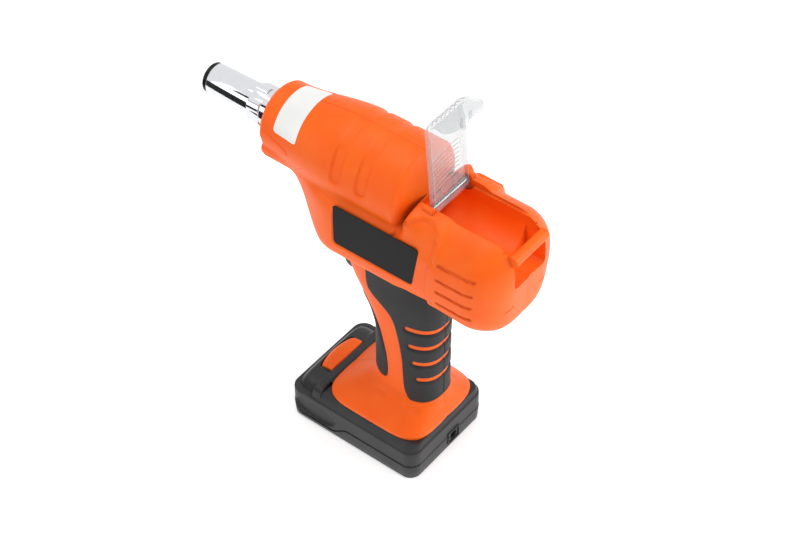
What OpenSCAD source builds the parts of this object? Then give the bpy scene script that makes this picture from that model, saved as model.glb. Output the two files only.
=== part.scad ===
/* [Stance] */
// Height of the nose axis above the battery base
axis_z = 215; // [213:0.5:220]
// Height of the moulded body's underside
belly_z = 157; // [156:0.5:158]
// Length from the battery centre back to the rear face
rear_reach = 106; // [105:0.5:110]
// Length from the battery centre forward to the front rim of the snout
snout_reach = 78; // [76:0.5:80]

/* [Body shell] */
// Radius of the round barrel
barrel_r = 30; // [29.5:0.25:32]
// Radius of the snout at its front rim
snout_r = 22.5; // [21.5:0.25:24]
// Half width of the flat lower body
body_half_w = 34; // [33:0.25:35]
// Half width of the rear box
box_half_w = 36.5; // [35.5:0.25:38]
// Height of the rear box above the nose axis
box_rise = 7.5; // [7:0.25:8.5]
// Rounding of the upright rear corners
rear_corner_r = 24; // [20:0.5:28]
// Clearance round the moving gear inside the shell
inner_gap = 0.5; // [0.3:0.05:0.8]

/* [Mandrel bay] */
// Half width of the bay opening
bay_half_w = 16.5; // [15:0.25:17.5]
// Thickness of the wall behind the bay
bay_rear_wall = 4; // [3:0.25:6]
// Height of the bay floor below the nose axis
bay_drop = 17; // [14:0.5:18]
// Height of the open notch in the rear face, below the nose axis
notch_drop = 25; // [22:0.5:27]
// Radius of the round bar that the cover hooks on
catch_bar_r = 3.5; // [3:0.25:4]

/* [Clear cover] */
// Distance from the hinge pin to the cover's end
cover_reach = 62; // [61.5:0.1:63]
// Length of the cover ahead of its pin
cover_tail = 5.5; // [4:0.25:6]
// Thickness of the cover
cover_t = 2; // [1.6:0.1:2.4]
// Length of the cover's bent end
cover_end = 25; // [20:0.5:27]
// Opening angle of the cover from shut
cover_open = 95; // [85:1:98]
// Radius of the hinge pin
hinge_pin_r = 1.5; // [1.2:0.1:1.8]
// Number of finger ribs on the bent end
finger_ribs = 7; // [4:1:8]

/* [Nose] */
// Outside radius of the chromed nose sleeve
sleeve_r = 10.5; // [10.25:0.05:11.5]
// Distance from the battery centre to the nose tip
nose_reach = 134; // [133:0.5:137]
// Radius of the mandrel hole in the nosepiece
mandrel_r = 1.6; // [1.2:0.05:2]
// Distance across the flats of the sleeve's collar
collar_flats = 24; // [23:0.25:25]
// Length of the collar behind its flats
collar_len = 8; // [7:0.25:10]
// Length of the flats
flats_len = 9; // [8:0.25:10]

/* [Pulling gear] */
// Pulling stroke
stroke = 22; // [15:0.5:24]
// Radius of the ball screw
screw_r = 7; // [6.5:0.1:7.5]
// Module of the two spur gears
spur_m = 1; // [0.95:0.01:1]
// Teeth on the ball nut's gear
nut_teeth = 48; // [46:2:48]
// Teeth on the pinion
pinion_teeth = 28; // [26:2:28]
// Width of the spur gears
spur_w = 10; // [7:0.5:11]

/* [Motor] */
// Radius of the motor can
motor_r = 16.5; // [15.5:0.1:16.75]
// Length of the motor can
motor_len = 44; // [38:1:46]
// Radius of the motor shaft
shaft_r = 1.6; // [1.5:0.05:1.8]

/* [Handle] */
// Depth of the grip front to back
grip_len = 46; // [44:0.5:47]
// Width of the grip
grip_w = 34; // [33:0.5:36]
// Thickness of the rubber skin
rubber_t = 1.2; // [0.8:0.1:1.6]
// Travel of the trigger
trigger_travel = 5.5; // [4:0.25:6]
// Width of the trigger
trigger_w = 17; // [14:0.5:18]

/* [Battery] */
// Length of the battery
pack_len = 102; // [100:1:108]
// Width of the battery
pack_w = 76; // [74:1:80]
// Height of the battery's lower shell
pack_low_h = 12; // [11.5:0.25:13]
// Height of the edge where the battery's upright wall ends
shoulder_z = 24; // [23:0.25:25]
// Height of the face that the foot stands on
seat_z = 30; // [29.5:0.25:31]
// Radius of one cell
cell_r = 9; // [8.5:0.1:9]
// Length of one cell
cell_len = 65; // [60:1:66]
// Number of cells
cell_count = 5; // [4:1:5]
// Radius of the charge socket's mouth
socket_r = 3; // [2.5:0.1:3.2]
// Travel of the release button
release_travel = 2.5; // [1.5:0.25:3]

/* [Hidden] */
$fn = 64;
eps = 0.01;
face_gap = 0.3;
motor_z = axis_z - spur_m * (nut_teeth + pinion_teeth) / 2;
box_top_z = axis_z + box_rise;
floor_z = axis_z - bay_drop;
notch_z = axis_z - notch_drop;
pin_x = -46.5;
pin_z = box_top_z - 2;
bay_front_x = -38;
bay_rear_x = -rear_reach + bay_rear_wall;
bulkhead_x = bay_front_x + 4;
gear_x = 4;
nut_back_x = gear_x - 10;
nut_front_x = gear_x + 22;
flange_x = nut_front_x + 5;
flange_t = 4;
flange_r = 23.5;
plate_front_x = nut_back_x;
plate_t = 4;
plate_back_x = plate_front_x - plate_t;
frame_r = 15;
frame_bore = 10.8;
plate_r = 26;
sun_teeth = 12;
planet_teeth = 15;
ring_teeth = sun_teeth + 2 * planet_teeth;
planet_m = 0.7;
planet_orbit = planet_m * (sun_teeth + planet_teeth) / 2;
planet_count = 3;
planet_w = 5;
ring_case_r = motor_r;
ring_case_len = 12;
motor_front_x = plate_back_x - ring_case_len;
motor_back_x = motor_front_x - motor_len;
carrier_x = motor_front_x + 8;
collar_x = snout_reach + 1;
flats_x = collar_x + collar_len;
collar_r = collar_flats / 2 + 0.3;
sleeve_front_x = nose_reach - 2;
case_r = sleeve_r - 2.2;
case_front_x = sleeve_front_x - 11;
case_len = 30;
case_back_x = case_front_x - case_len;
screw_back_x = -8;
torque_pin_x = snout_reach - 18;
screw_front_x = torque_pin_x + 2;
draw_bore = 3.8;
guide_r = 3.3;
grip_x = -21.5;
foot_half_w = 34;
foot_front_x = 28.5;
foot_back_x = -49.5;
foot_h = 22;
rail_neck = 20;
rail_flange = 24;
rail_back_x = -30;
rail_h = 5;
release_x = 38;
release_a = 6.6;
release_w = 32;
socket_y = -4.5;
socket_z = 9.5;
label_t = 0.4;
catch_z = axis_z - 4;
ledge_w = 1.6;
label_back_x = snout_reach - 32;
label_w = 20;
side_label_x = -18.5;
side_label_z = axis_z - 27.5;
board_front_x = 6;
switch_low_z = 131;
switch_top_z = belly_z - 1.3;
trigger_back_x = 14;
board_z = seat_z + 7.2;
board_t = 1.6;
// Rounding of the rear face's upper and lower edges
edge_r = 6;
// Heights of the cooling grooves
vent_rows = [for (i = [0:3]) axis_z - 14.5 - 9.6 * i];
// Where the housing screws stand, as length and height
screw_spots = [[49, axis_z + 19.5], [64, axis_z - 19], [40, axis_z - 27], [-24, axis_z + 19.5],
    [-76, belly_z + 12], [-94, belly_z + 12], [1, 120], [-20, 64], [3, seat_z + 16], [-40.5, seat_z + 11.5]];
screw_core_r = 1.5;
screw_head_r = 3;
screw_len = 16;
foot_a = (foot_front_x - foot_back_x) / 2;
foot_mid = (foot_front_x + foot_back_x) / 2;
// Stations of the body's sections and the steps round each half section
body_rings = [-rear_reach, -rear_reach + 0.8, -rear_reach + 2.5, -rear_reach + 5.5, -rear_reach + 9,
    -rear_reach + 14, -rear_reach + 20, -rear_reach + 26, -72, -64, -60, -56, -50, -45, -42, -39,
    -36, -33, -30, -27, -22, -12, 0, 10, 17, 23, 28, 33, 38, 43, 48, 53, 58, 65, snout_reach - 2.5,
    snout_reach - 1, snout_reach];
body_steps = 20;
// Heights of the handle's sections and the steps round each half section
grip_rings = [seat_z + 0.3, 33, 36, 39, 42, 45, 48, 51, 55, 62, 71, 81, 90, 98, 106, 114, 122, 131, 140,
    150, belly_z + 5];
grip_steps = 18;
label_rings = [for (x = body_rings) if (x > label_back_x - 6 && x < label_back_x + label_w + 4) x];
cell_pitch = 2 * cell_r + 0.2;
cell_z = 2.6 + cell_r;
cells_mid_x = 2.4;

// Smooth step from 0 at a to 1 at b, for a less than b or b less than a
function ramp(x, a, b) = let (t = max(0, min(1, (x - a) / (b - a)))) t * t * (3 - 2 * t);

// Rounded maximum of two widths, k sets the fillet between them
function soft_max(a, b, k) = (a + b + sqrt((a - b) * (a - b) + k * k)) / 2;

// Width of a circle at height dz from its centre, negative outside it
function disc_w(r, dz) = abs(dz) < r ? sqrt(r * r - dz * dz) : -2 * (abs(dz) - r);

// Width of a superellipse of half width w and half height h at height dz
function box_w(w, h, n, dz) = abs(dz) < h ? w * pow(1 - pow(abs(dz) / h, n), 1 / n)
    : -2 * (abs(dz) - h);

// Radius of the round part of the body at a station along it
function round_r(x) = x > -20 ? snout_r + (barrel_r - snout_r) * ramp(x, 75, 15)
    : 4 + (barrel_r - 4) * ramp(x, -43, -27);

// Underside of the body, swept up to the snout at the front and falling a little to the rear
function under_z(x) = belly_z + (axis_z - snout_r + 1 - belly_z) * ramp(x, 24, 56)
    - 2.5 * ramp(x, -50, -100);

// How far forward the rear face leans below the bay
function lean(x, z) = 0.1 * max(0, axis_z - 10 - z) * ramp(x, -75, -rear_reach);

// Top of the squared part, which rises from the ledge to the rear box
function upper_z(x) = axis_z - 9 + (box_rise + 9) * ramp(x, -30, -40);

// Half width of the squared part, with the rounded rear corners
function flat_w(x) = let (
    w = body_half_w - 14 * ramp(x, 15, 58) + (box_half_w - body_half_w) * ramp(x, -56, -64),
    d = max(0, -x - rear_reach + rear_corner_r)
    ) w - rear_corner_r + sqrt(max(0, rear_corner_r * rear_corner_r - d * d));

// How far the rear face's rounded edges stand in at a station
function edge_in(x) = let (d = max(0, -x - rear_reach + edge_r))
    edge_r - sqrt(max(0, edge_r * edge_r - d * d));

// Squareness of the section's upper and lower corners
function top_n(x) = x < 0 ? 2.1 + 1.4 * ramp(x, -65, -57) + 1.5 * ramp(x, -50, -40)
    : 3.2 + 1.8 * ramp(x, 60, 20);
function low_n(x) = x < 0 ? 4.2 + 0.8 * ramp(x, -66, -40) : 3.2 + 1.8 * ramp(x, 60, 20);

// Rounded lip at the snout's front rim
function lip(x) = 2 * ramp(x, snout_reach - 2.5, snout_reach);

// Point of the body's half section: t runs from the top centre to the bottom centre
function body_point(x, t, out = 0) = let (
    r = round_r(x) - lip(x),
    zt = upper_z(x) - edge_in(x),
    zb = under_z(x) + edge_in(x) + lip(x),
    top = max(axis_z + r, zt),
    bottom = min(axis_z - r, zb),
    z = (top + bottom) / 2 + (top - bottom) / 2 * cos(180 * t),
    mid = (zt + zb) / 2,
    n = z > mid ? top_n(x) : low_n(x),
    y = soft_max(disc_w(r, z - axis_z), box_w(flat_w(x), (zt - zb) / 2, n, z - mid), 3),
    end = t <= 0 || t >= 1 ? 0 : 1
    ) [x + lean(x, z), end * max(0.4, y + out), z + out * cos(180 * t)];

// Closed solid between rings of points; the first and last point of each ring share one plane
module half_loft(rings) {
    m = len(rings[0]);
    n = len(rings);
    skin = [for (i = [0:n - 2]) for (j = [0:m - 1]) for (k = [0, 1])
        let (a = i * m + j, b = i * m + (j + 1) % m, c = a + m, d = b + m)
            k == 0 ? [a, b, d] : [a, d, c]];
    caps = [[for (j = [m - 1:-1:0]) j], [for (j = [0:m - 1]) (n - 1) * m + j]];
    polyhedron(points = [for (r = rings) each r], faces = concat(skin, caps), convexity = 6);
}

// Solid half of the body, its flat side on the middle plane
module body_half(out = 0, rings = body_rings) {
    half_loft([for (x = rings) [for (j = [0:body_steps]) body_point(x, j / body_steps, out)]]);
}

// How far the handle has spread into the foot at a height, from 0 to 1
function flare(z) = pow(max(0, min(1, (seat_z + foot_h - z) / foot_h)), 1.3);

// Centre, half length, half width and squareness of the handle's section at a height
function grip_mid(z) = grip_x + 13 * ramp(z, 92, 150) + (foot_mid - grip_x) * flare(z);
function grip_a(z) = grip_len / 2 + 12 * ramp(z, 92, 140) + (foot_a - grip_len / 2) * flare(z);
function grip_b(z) = grip_w / 2 + (foot_half_w - grip_w / 2) * flare(z);
function grip_n(z) = 2.5 + 2.5 * ramp(z, 50, 32);

// Point of the handle's half section: t runs from the front centre to the rear centre
function grip_point(z, t, out = 0) = let (
    n = grip_n(z),
    c = cos(180 * t),
    s = sin(180 * t),
    end = t <= 0 || t >= 1 ? 0 : 1
    ) [grip_mid(z) + (grip_a(z) + out) * sign(c) * pow(abs(c), 2 / n),
        end * (grip_b(z) + out) * pow(abs(s), 2 / n), z];

// Solid half of the handle and foot
module grip_half(out = 0) {
    half_loft([for (z = grip_rings) [for (j = [grip_steps:-1:0]) grip_point(z, j / grip_steps, out)]]);
}

// Cylinder along the body, from one station to another
module rod(x0, x1, r, z = axis_z) {
    translate([x0, 0, z])
        rotate([0, 90, 0])
            cylinder(r = r, h = x1 - x0);
}

// Ring along the body, from one station to another
module tube(x0, x1, r, bore, z = axis_z) {
    translate([x0, 0, z])
        rotate([0, 90, 0])
            difference() {
                cylinder(r = r, h = x1 - x0);
                translate([0, 0, -1])
                    cylinder(r = bore, h = x1 - x0 + 2);
            }
}

// Block with its lower corner and its size, centred on the middle plane
module slab(x0, x1, w, z0, z1) {
    translate([x0, -w / 2, z0])
        cube([x1 - x0, w, z1 - z0]);
}

// Outline of a spur gear with straight-sided teeth
module gear_2d(m, teeth, backlash = 0.12, turn = 0) {
    pr = m * teeth / 2;
    step = 360 / teeth;
    // Half tooth angles at the pitch line, root and tip
    half = 90 / teeth - backlash / pr * 57.3;
    root = half * 1.5;
    tip = half * 0.45;
    rr = pr - 1.2 * m;
    tr = pr + 0.95 * m;
    rotate(turn)
        polygon([for (i = [0:teeth - 1]) each [
            rr * [cos(i * step - root), sin(i * step - root)],
            pr * [cos(i * step - half), sin(i * step - half)],
            tr * [cos(i * step - tip), sin(i * step - tip)],
            tr * [cos(i * step + tip), sin(i * step + tip)],
            pr * [cos(i * step + half), sin(i * step + half)],
            rr * [cos(i * step + root), sin(i * step + root)]]]);
}

// Gear standing across the body's length
module gear(x0, w, m, teeth, z, turn = 0, backlash = 0.12) {
    translate([x0, 0, z])
        rotate([0, 90, 0])
            linear_extrude(w)
                gear_2d(m, teeth, backlash, turn);
}

// Coil spring along X, as a six-sided wire swept on a helix
module coil(x0, x1, r, wire, turns, z = axis_z) {
    per_turn = 9;
    rings = turns * per_turn;
    sides = 5;
    lead = (x1 - x0 - 2 * wire) / turns;
    pts = [for (i = [0:rings]) for (j = [0:sides - 1])
        let (a = 360 * i / per_turn, b = 360 * j / sides, rr = r + wire * cos(b))
            [x0 + wire + lead * i / per_turn + wire * sin(b), rr * cos(a), z + rr * sin(a)]];
    skin = [for (i = [0:rings - 1]) for (j = [0:sides - 1]) for (k = [0, 1])
        let (a = i * sides + j, b = i * sides + (j + 1) % sides, c = a + sides, d = b + sides)
            k == 0 ? [a, b, d] : [a, d, c]];
    caps = [[for (j = [sides - 1:-1:0]) j], [for (j = [0:sides - 1]) rings * sides + j]];
    polyhedron(points = pts, faces = concat(skin, caps), convexity = 8);
}

// Every space that the housing leaves for what it holds
module inner_space() {
    // Front opening, frame tube and flange
    rod(flange_x, snout_reach + 1, frame_r + face_gap);
    rod(flange_x - 0.1, flange_x + flange_t + face_gap, flange_r + face_gap);
    slab(flange_x - 0.1, flange_x + flange_t + face_gap, 18 + 2 * face_gap, motor_z - 7.3, axis_z);
    // Ball nut and its gear
    rod(plate_front_x, flange_x, spur_m * nut_teeth / 2 + spur_m + inner_gap);
    rod(plate_back_x - face_gap, plate_front_x + eps, plate_r + face_gap);
    // Retracting screw and guide tube
    rod(screw_back_x - stroke - 4, plate_back_x, screw_r + inner_gap + 0.4);
    rod(bay_front_x - 1, plate_back_x, guide_r + 0.05);
    // Pinion, planet stage and motor
    rod(plate_front_x, gear_x + spur_w + 1, spur_m * (pinion_teeth / 2 + 1) + inner_gap, motor_z);
    rod(gear_x + spur_w, flange_x + flange_t + face_gap, 4.4, motor_z);
    rod(motor_back_x - 4, plate_front_x + eps, motor_r + face_gap, motor_z);
    // Switch, trigger and board
    slab(-16, 12.5, 2 * 8.3, switch_low_z - face_gap, switch_top_z + face_gap);
    slab(trigger_back_x - trigger_travel - face_gap, 40, trigger_w + 2 * face_gap, 126, belly_z + 1);
    slab(-14, -6, 10, board_z + 3, switch_low_z);
    slab(-36 - face_gap, board_front_x + face_gap, 38.6, board_z - face_gap, board_z + board_t + 2.2);
    // Slot for the battery's rail, open at the front
    slab(rail_back_x - 8, 60, 2 * rail_neck + 1, seat_z - 1, seat_z + 3);
    slab(rail_back_x - 8, 60, 2 * rail_flange + 1, seat_z + 2.7, seat_z + rail_h + 0.5);
}

// Bay in the rear box, with the cover's ledge and the notch in the rear face
module bay_space() {
    inner = bay_half_w - ledge_w;
    // Trough with a round bottom, and the drop to the notch at the back
    rod(-rear_reach - 1, bay_front_x, inner, floor_z + inner);
    hull() {
        slab(-rear_reach - 1, -90, 2 * inner, notch_z + 2, floor_z + inner);
        slab(-rear_reach - 1, -90, 2 * inner - 4, notch_z, floor_z + 1);
    }
    slab(bay_rear_x, bay_front_x, 2 * inner, floor_z + inner, box_top_z + 40);
    // Ledge for the cover, and the room in front of its hinge
    slab(-rear_reach - 1, bay_front_x, 2 * bay_half_w, pin_z - cover_t / 2 - face_gap, box_top_z + 40);
    // Notch through the rear face
    slab(-rear_reach - 1, bay_rear_x + 1, 2 * inner, notch_z + 2, box_top_z + 1);
    // Room for the cover's tail, then the seats of the hinge pin and the catch bar
    translate([pin_x, 0, pin_z])
        rotate([90, 0, 0])
            cylinder(r = cover_tail + 1.2, h = 2 * bay_half_w, center = true);
    translate([pin_x, 0, pin_z])
        rotate([90, 0, 0])
            cylinder(r = hinge_pin_r + 0.02, h = 2 * bay_half_w + 8, center = true);
    translate([-rear_reach + catch_bar_r, 0, catch_z])
        rotate([90, 0, 0])
            cylinder(r = catch_bar_r, h = 2 * bay_half_w - 2, center = true);
}

// Raised lugs that carry the ends of the hinge pin
module hinge_lug() {
    hull() {
        translate([pin_x, bay_half_w + 0.1, pin_z])
            rotate([-90, 0, 0])
                cylinder(r = 3.6, h = 4.4, $fn = 24);
        translate([pin_x - 4, bay_half_w + 0.1, pin_z - 10])
            cube([12, 4.4, 1]);
    }
}

// Horizontal cooling grooves on the lower side of the rear box
module vent_grooves() {
    for (z = vent_rows) {
        hull() {
            for (x = [-93.5 + 0.1 * (axis_z - z), -66]) {
                translate([x + 3, box_half_w + 1, z])
                    rotate([90, 0, 0])
                        cylinder(r = 1.1, h = 2.2, $fn = 12);
            }
        }
    }
}

// Shallow band down one side of the barrel, fading out at the top, with a round end
module barrel_band(x) {
    deep = 1.5;
    turn = 84;
    translate([x, -deep * 0.6, axis_z + deep * 0.4])
        rotate([0, 90, 0]) {
            rotate([0, 0, 180 - turn])
                rotate_extrude(angle = turn - 4, $fn = 48)
                    translate([barrel_r - deep * 0.5, -4])
                        square([4, 8]);
            rotate([0, 0, 180 - turn])
                translate([barrel_r - deep * 0.5, 0, 0])
                    rotate([0, 90, 0])
                        cylinder(r = 4, h = 4, $fn = 16);
        }
}

// Flat recess of the side label
module label_recess() {
    translate([side_label_x, body_half_w - 1, side_label_z])
        rotate([-90, 0, 0])
            linear_extrude(10)
                side_label_2d(3);
}

// Outline of the side label, whose rear edge slants forward at its foot
module side_label_2d(r) {
    offset(r = r, $fn = 24)
        polygon([[-28.5, -12.5], [28.5, -12.5], [28.5, 12.5], [-24.5, 12.5]]);
}

// Holes for the screws, from the middle plane outwards
module screw_holes(side) {
    for (p = screw_spots) {
        translate([p[0], 0, p[1]])
            rotate([-90, 0, 0]) {
                translate([0, 0, -1])
                    cylinder(r = screw_core_r, h = screw_len / 2 + 1 + face_gap, $fn = 16);
                if (side < 0)
                    translate([0, 0, screw_len / 2])
                        cylinder(r = screw_head_r + 0.2, h = 60, $fn = 16);
            }
    }
}

// One moulded half, drawn for the left side
module shell_half(side) {
    difference() {
        union() {
            body_half();
            grip_half();
            hinge_lug();
            snout_pad();
            if (side < 0)
                rest_pad();
        }
        inner_space();
        bay_space();
        vent_grooves();
        barrel_band(14);
        barrel_band(-4.5);
        label_recess();
        screw_holes(side);
        // Running gap at the parting plane
        translate([-200, -100 + 0.02, 0])
            cube([400, 100, 400]);
    }
}

// Long raised pad on each side of the snout
module snout_pad() {
    hull() {
        for (x = [57, snout_reach - 3]) {
            for (z = [-3, -7.5]) {
                translate([x, 0, axis_z + z])
                    rotate([-90, 0, 0])
                        cylinder(r = 1.5, h = round_r(x) + 0.6, $fn = 12);
            }
        }
    }
}

// Rounded pad on the right side, on which the tool is laid down
module rest_pad() {
    translate([-49, body_half_w - 2, axis_z - 25])
        rotate([-90, 0, 0])
            linear_extrude(5.5)
                offset(r = 4.6, $fn = 24)
                    square([14, 26], center = true);
}

module housing_left() {
    color("#ff6a1c")
        shell_half(1);
}

module housing_right() {
    color("#ff6a1c")
        mirror([0, 1, 0])
            shell_half(-1);
}

// Side outline of the rubber behind the orange strip
module rubber_rear_2d() {
    polygon([[-8, 150], [2.5, 152], [2.3, 131], [-2, 125.5], [-11, 120], [-18.4, 113.6],
        [-22.4, 100], [-25.5, 84], [-26.6, 66], [-27.2, 58], [-29.5, 53], [-34, 51], [-70, 51],
        [-70, 156], [-40, 157], [-8, 157]]);
}

// Side outline of the rubber in front of the orange strip
module rubber_front_2d() {
    polygon([[20, 121], [7, 117], [1, 106], [-6, 98], [-10.5, 88], [-13.6, 77], [-14.7, 65],
        [-13.8, 58.5], [-11.2, 56], [-7, 56.6], [8, 61], [20, 64]]);
}

// Slots through the rubber, curving down towards the back
module grip_slots() {
    for (i = [0:3]) {
        z = 111 - 14.2 * i;
        x = -29 - 2.6 * i;
        hull() {
            translate([x, 0, z])
                rotate([-90, 0, 0])
                    cylinder(r = 1.4, h = 40, $fn = 12);
            translate([-52, 0, z - 1])
                rotate([-90, 0, 0])
                    cylinder(r = 1.4, h = 40, $fn = 12);
        }
    }
}

module rubber_half() {
    difference() {
        intersection() {
            grip_half(rubber_t);
            union() {
                translate([0, 60, 0])
                    rotate([90, 0, 0])
                        linear_extrude(60 - 0.02)
                            rubber_rear_2d();
                translate([0, 60, 0])
                    rotate([90, 0, 0])
                        linear_extrude(60 - 0.02)
                            rubber_front_2d();
            }
        }
        grip_half();
        body_half();
        grip_slots();
        slab(10, 60, trigger_w + 4, 110, 160);
    }
}

module grip_left() {
    color("#3b3d3f")
        rubber_half();
}

module grip_right() {
    color("#3b3d3f")
        mirror([0, 1, 0])
            rubber_half();
}

// Points on an arc about a centre
function arc(c, r, from, to, steps) = [for (i = [0:steps])
    let (a = from + (to - from) * i / steps) c + r * [cos(a), sin(a)]];

// Side outline of the cover, shut, with its pin at the origin and its end towards -X
module cover_side_2d() {
    bend = 8;
    c = [bend - cover_reach, cover_t / 2 - bend];
    tip = cover_t / 2 - cover_end;
    polygon(concat(arc(c, bend, 90, 180, 12), [[-cover_reach, tip], [cover_t - cover_reach, tip]],
        arc(c, bend - cover_t, 180, 90, 12), [[cover_tail, -cover_t / 2], [cover_tail, cover_t / 2]]));
}

module collector_cover() {
    w = 2 * bay_half_w - 1;
    color("#e8f0f2", 0.35)
        translate([pin_x, 0, pin_z])
            rotate([0, cover_open, 0])
                difference() {
                    union() {
                        rotate([90, 0, 0])
                            translate([0, 0, -w / 2])
                                linear_extrude(w)
                                    cover_side_2d();
                        // Hinge barrel
                        rotate([90, 0, 0])
                            cylinder(r = hinge_pin_r + 1.3, h = w, center = true);
                        // Finger ribs across the bend, lengthwise
                        for (i = [0:finger_ribs - 1]) {
                            translate([-cover_reach - 0.5, (i - (finger_ribs - 1) / 2) * 4 - 0.5, -20])
                                cube([1, 1, 12]);
                        }
                        // Stiffening ribs near the hinge
                        for (i = [0:7]) {
                            translate([-6 - 2.6 * i, -w / 2 + 2, cover_t / 2 - 0.1])
                                cube([0.8, w - 4, 0.6]);
                        }
                        // Hook that springs under the catch bar
                        translate([-cover_reach + cover_t - 0.1, -4, -cover_end + 6])
                            cube([1.2, 8, 3]);
                    }
                    rotate([90, 0, 0])
                        cylinder(r = hinge_pin_r + 0.06, h = w + 2, center = true);
                }
}

module hinge_pin() {
    color("silver")
        translate([pin_x, 0, pin_z])
            rotate([90, 0, 0])
                cylinder(r = hinge_pin_r, h = 2 * bay_half_w + 7.6, center = true);
}

module catch_bar() {
    color("#ff6a1c")
        translate([-rear_reach + catch_bar_r, 0, catch_z])
            rotate([90, 0, 0])
                cylinder(r = catch_bar_r, h = 2 * bay_half_w - 2, center = true);
}

// Chromed sleeve: tube, collar with flats and the threaded spigot behind it
module nose_sleeve() {
    bore = case_r + 0.35;
    color("#d9dcde")
        difference() {
            union() {
                rod(flats_x, sleeve_front_x - 1, sleeve_r);
                translate([sleeve_front_x - 1, 0, axis_z])
                    rotate([0, 90, 0])
                        cylinder(r1 = sleeve_r, r2 = sleeve_r - 1.2, h = 1);
                rod(collar_x, flats_x, collar_r);
                intersection() {
                    rod(flats_x - 1, flats_x + flats_len, collar_r + 0.6);
                    translate([flats_x - 1, 0, axis_z])
                        rotate([0, 90, 0])
                            cylinder(r = collar_flats / sqrt(3), h = flats_len + 1, $fn = 6);
                }
                rod(collar_x - 12, collar_x, frame_bore - 0.02);
            }
            rod(collar_x - 13, case_front_x + 4, bore);
            rod(case_front_x, sleeve_front_x + 1, 5);
        }
}

module nosepiece() {
    color("#222426")
        difference() {
            union() {
                rod(case_front_x + 3.2, sleeve_front_x, 4.98);
                translate([sleeve_front_x, 0, axis_z])
                    rotate([0, 90, 0])
                        cylinder(r1 = 6.5, r2 = 5.5, h = nose_reach - sleeve_front_x);
                translate([case_front_x + 0.4, 0, axis_z])
                    rotate([0, 90, 0])
                        cylinder(r1 = 2.6, r2 = 4, h = 2.8);
            }
            rod(case_front_x - 1, nose_reach + 1, mandrel_r);
        }
}

// Steel frame: flange against the thrust bearing and tube out to the nose
module front_frame() {
    color("#9aa0a4")
        difference() {
            union() {
                rod(flange_x, flange_x + flange_t, flange_r);
                rod(flange_x, collar_x - 0.05, frame_r);
                translate([flange_x, -9, motor_z - 7])
                    cube([flange_t, 18, axis_z - motor_z]);
            }
            rod(flange_x - 1, collar_x + 1, frame_bore);
            rod(flange_x - 1, flange_x + flange_t + 1, 4.05, motor_z);
            // Slots that keep the screw from turning
            translate([torque_pin_x - stroke - 2.5, -20, axis_z - 2.1])
                cube([stroke + 5, 40, 4.2]);
        }
}

module rear_plate() {
    color("#9aa0a4")
        difference() {
            union() {
                rod(plate_back_x, plate_front_x, plate_r);
                rod(plate_back_x, plate_front_x, motor_r, motor_z);
                rod(plate_front_x - eps, plate_front_x + 6, 17.5);
            }
            rod(plate_back_x - 1, plate_front_x + 1, screw_r + 0.8);
            rod(plate_front_x, plate_front_x + 7, 15);
            rod(plate_back_x - 1, plate_front_x + 1, 4.05, motor_z);
        }
}

// Cone that squeezes the jaws, screwed to the draw tube
module jaw_case() {
    color("#7d8286")
        difference() {
            rod(case_back_x, case_front_x, case_r);
            rod(case_front_x - 1, case_front_x + 1, 3.2);
            translate([case_front_x - 15, 0, axis_z])
                rotate([0, 90, 0])
                    cylinder(r1 = 6.2, r2 = 3.2, h = 14.01);
            rod(case_back_x - 1, case_front_x - 14.99, 6.2);
        }
}

// Three gripping jaws, one third of a cone each
module jaws() {
    color("#55595c")
        for (i = [0:2]) {
            translate([case_front_x - 14.6, 0, axis_z])
                rotate([0, 90, 0])
                    rotate([0, 0, 120 * i + 4])
                        rotate_extrude(angle = 112)
                            polygon([[mandrel_r + 0.3, 0], [5.9, 0], [3.4, 12], [mandrel_r + 0.3, 12]]);
        }
}

module jaw_pusher() {
    color("#7d8286")
        difference() {
            union() {
                rod(case_front_x - 22, case_front_x - 18, 5.9);
                translate([case_front_x - 18, 0, axis_z])
                    rotate([0, 90, 0])
                        cylinder(r1 = 5.9, r2 = 3.6, h = 3.3);
            }
            rod(case_front_x - 23, case_front_x - 14, 2.4);
        }
}

module jaw_spring() {
    color("#b9bdc0")
        coil(case_back_x + 2.05, case_front_x - 22.05, 4.4, 0.7, 3);
}

// Hollow ball screw with its draw tube
module ball_screw() {
    grooves = 20;
    color("#b5babd")
        translate([screw_back_x, 0, axis_z])
            rotate([0, 90, 0])
                rotate_extrude()
                    polygon(concat([[draw_bore, 0]],
                        [for (i = [0:grooves - 1]) each [[screw_r, 3 * i], [screw_r, 3 * i + 1.4],
                            [screw_r - 0.7, 3 * i + 1.8], [screw_r - 0.7, 3 * i + 2.6]]],
                        [[screw_r, 3 * grooves], [screw_r, screw_front_x - screw_back_x],
                            [6.18, screw_front_x - screw_back_x], [6.18, case_back_x + 2 - screw_back_x],
                            [2.6, case_back_x + 2 - screw_back_x], [2.6, screw_front_x - screw_back_x],
                            [draw_bore, screw_front_x - screw_back_x - 4]]));
}

// Cross pin that slides in the frame's slots
module torque_pin() {
    color("#b5babd")
        for (side = [-1, 1]) {
            translate([torque_pin_x, side * (screw_r + 0.02), axis_z])
                rotate([-90 * side, 0, 0])
                    cylinder(r = 2, h = frame_r - screw_r - 0.6);
        }
}

module ball_nut() {
    color("#8d9296")
        difference() {
            union() {
                rod(nut_back_x + 0.3, nut_back_x + 6.5, 9);
                rod(nut_back_x + 6.3, nut_front_x, 14.6);
                gear(gear_x, spur_w, spur_m, nut_teeth, axis_z);
            }
            rod(nut_back_x - 1, nut_front_x + 1, screw_r + 0.08);
        }
}

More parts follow.
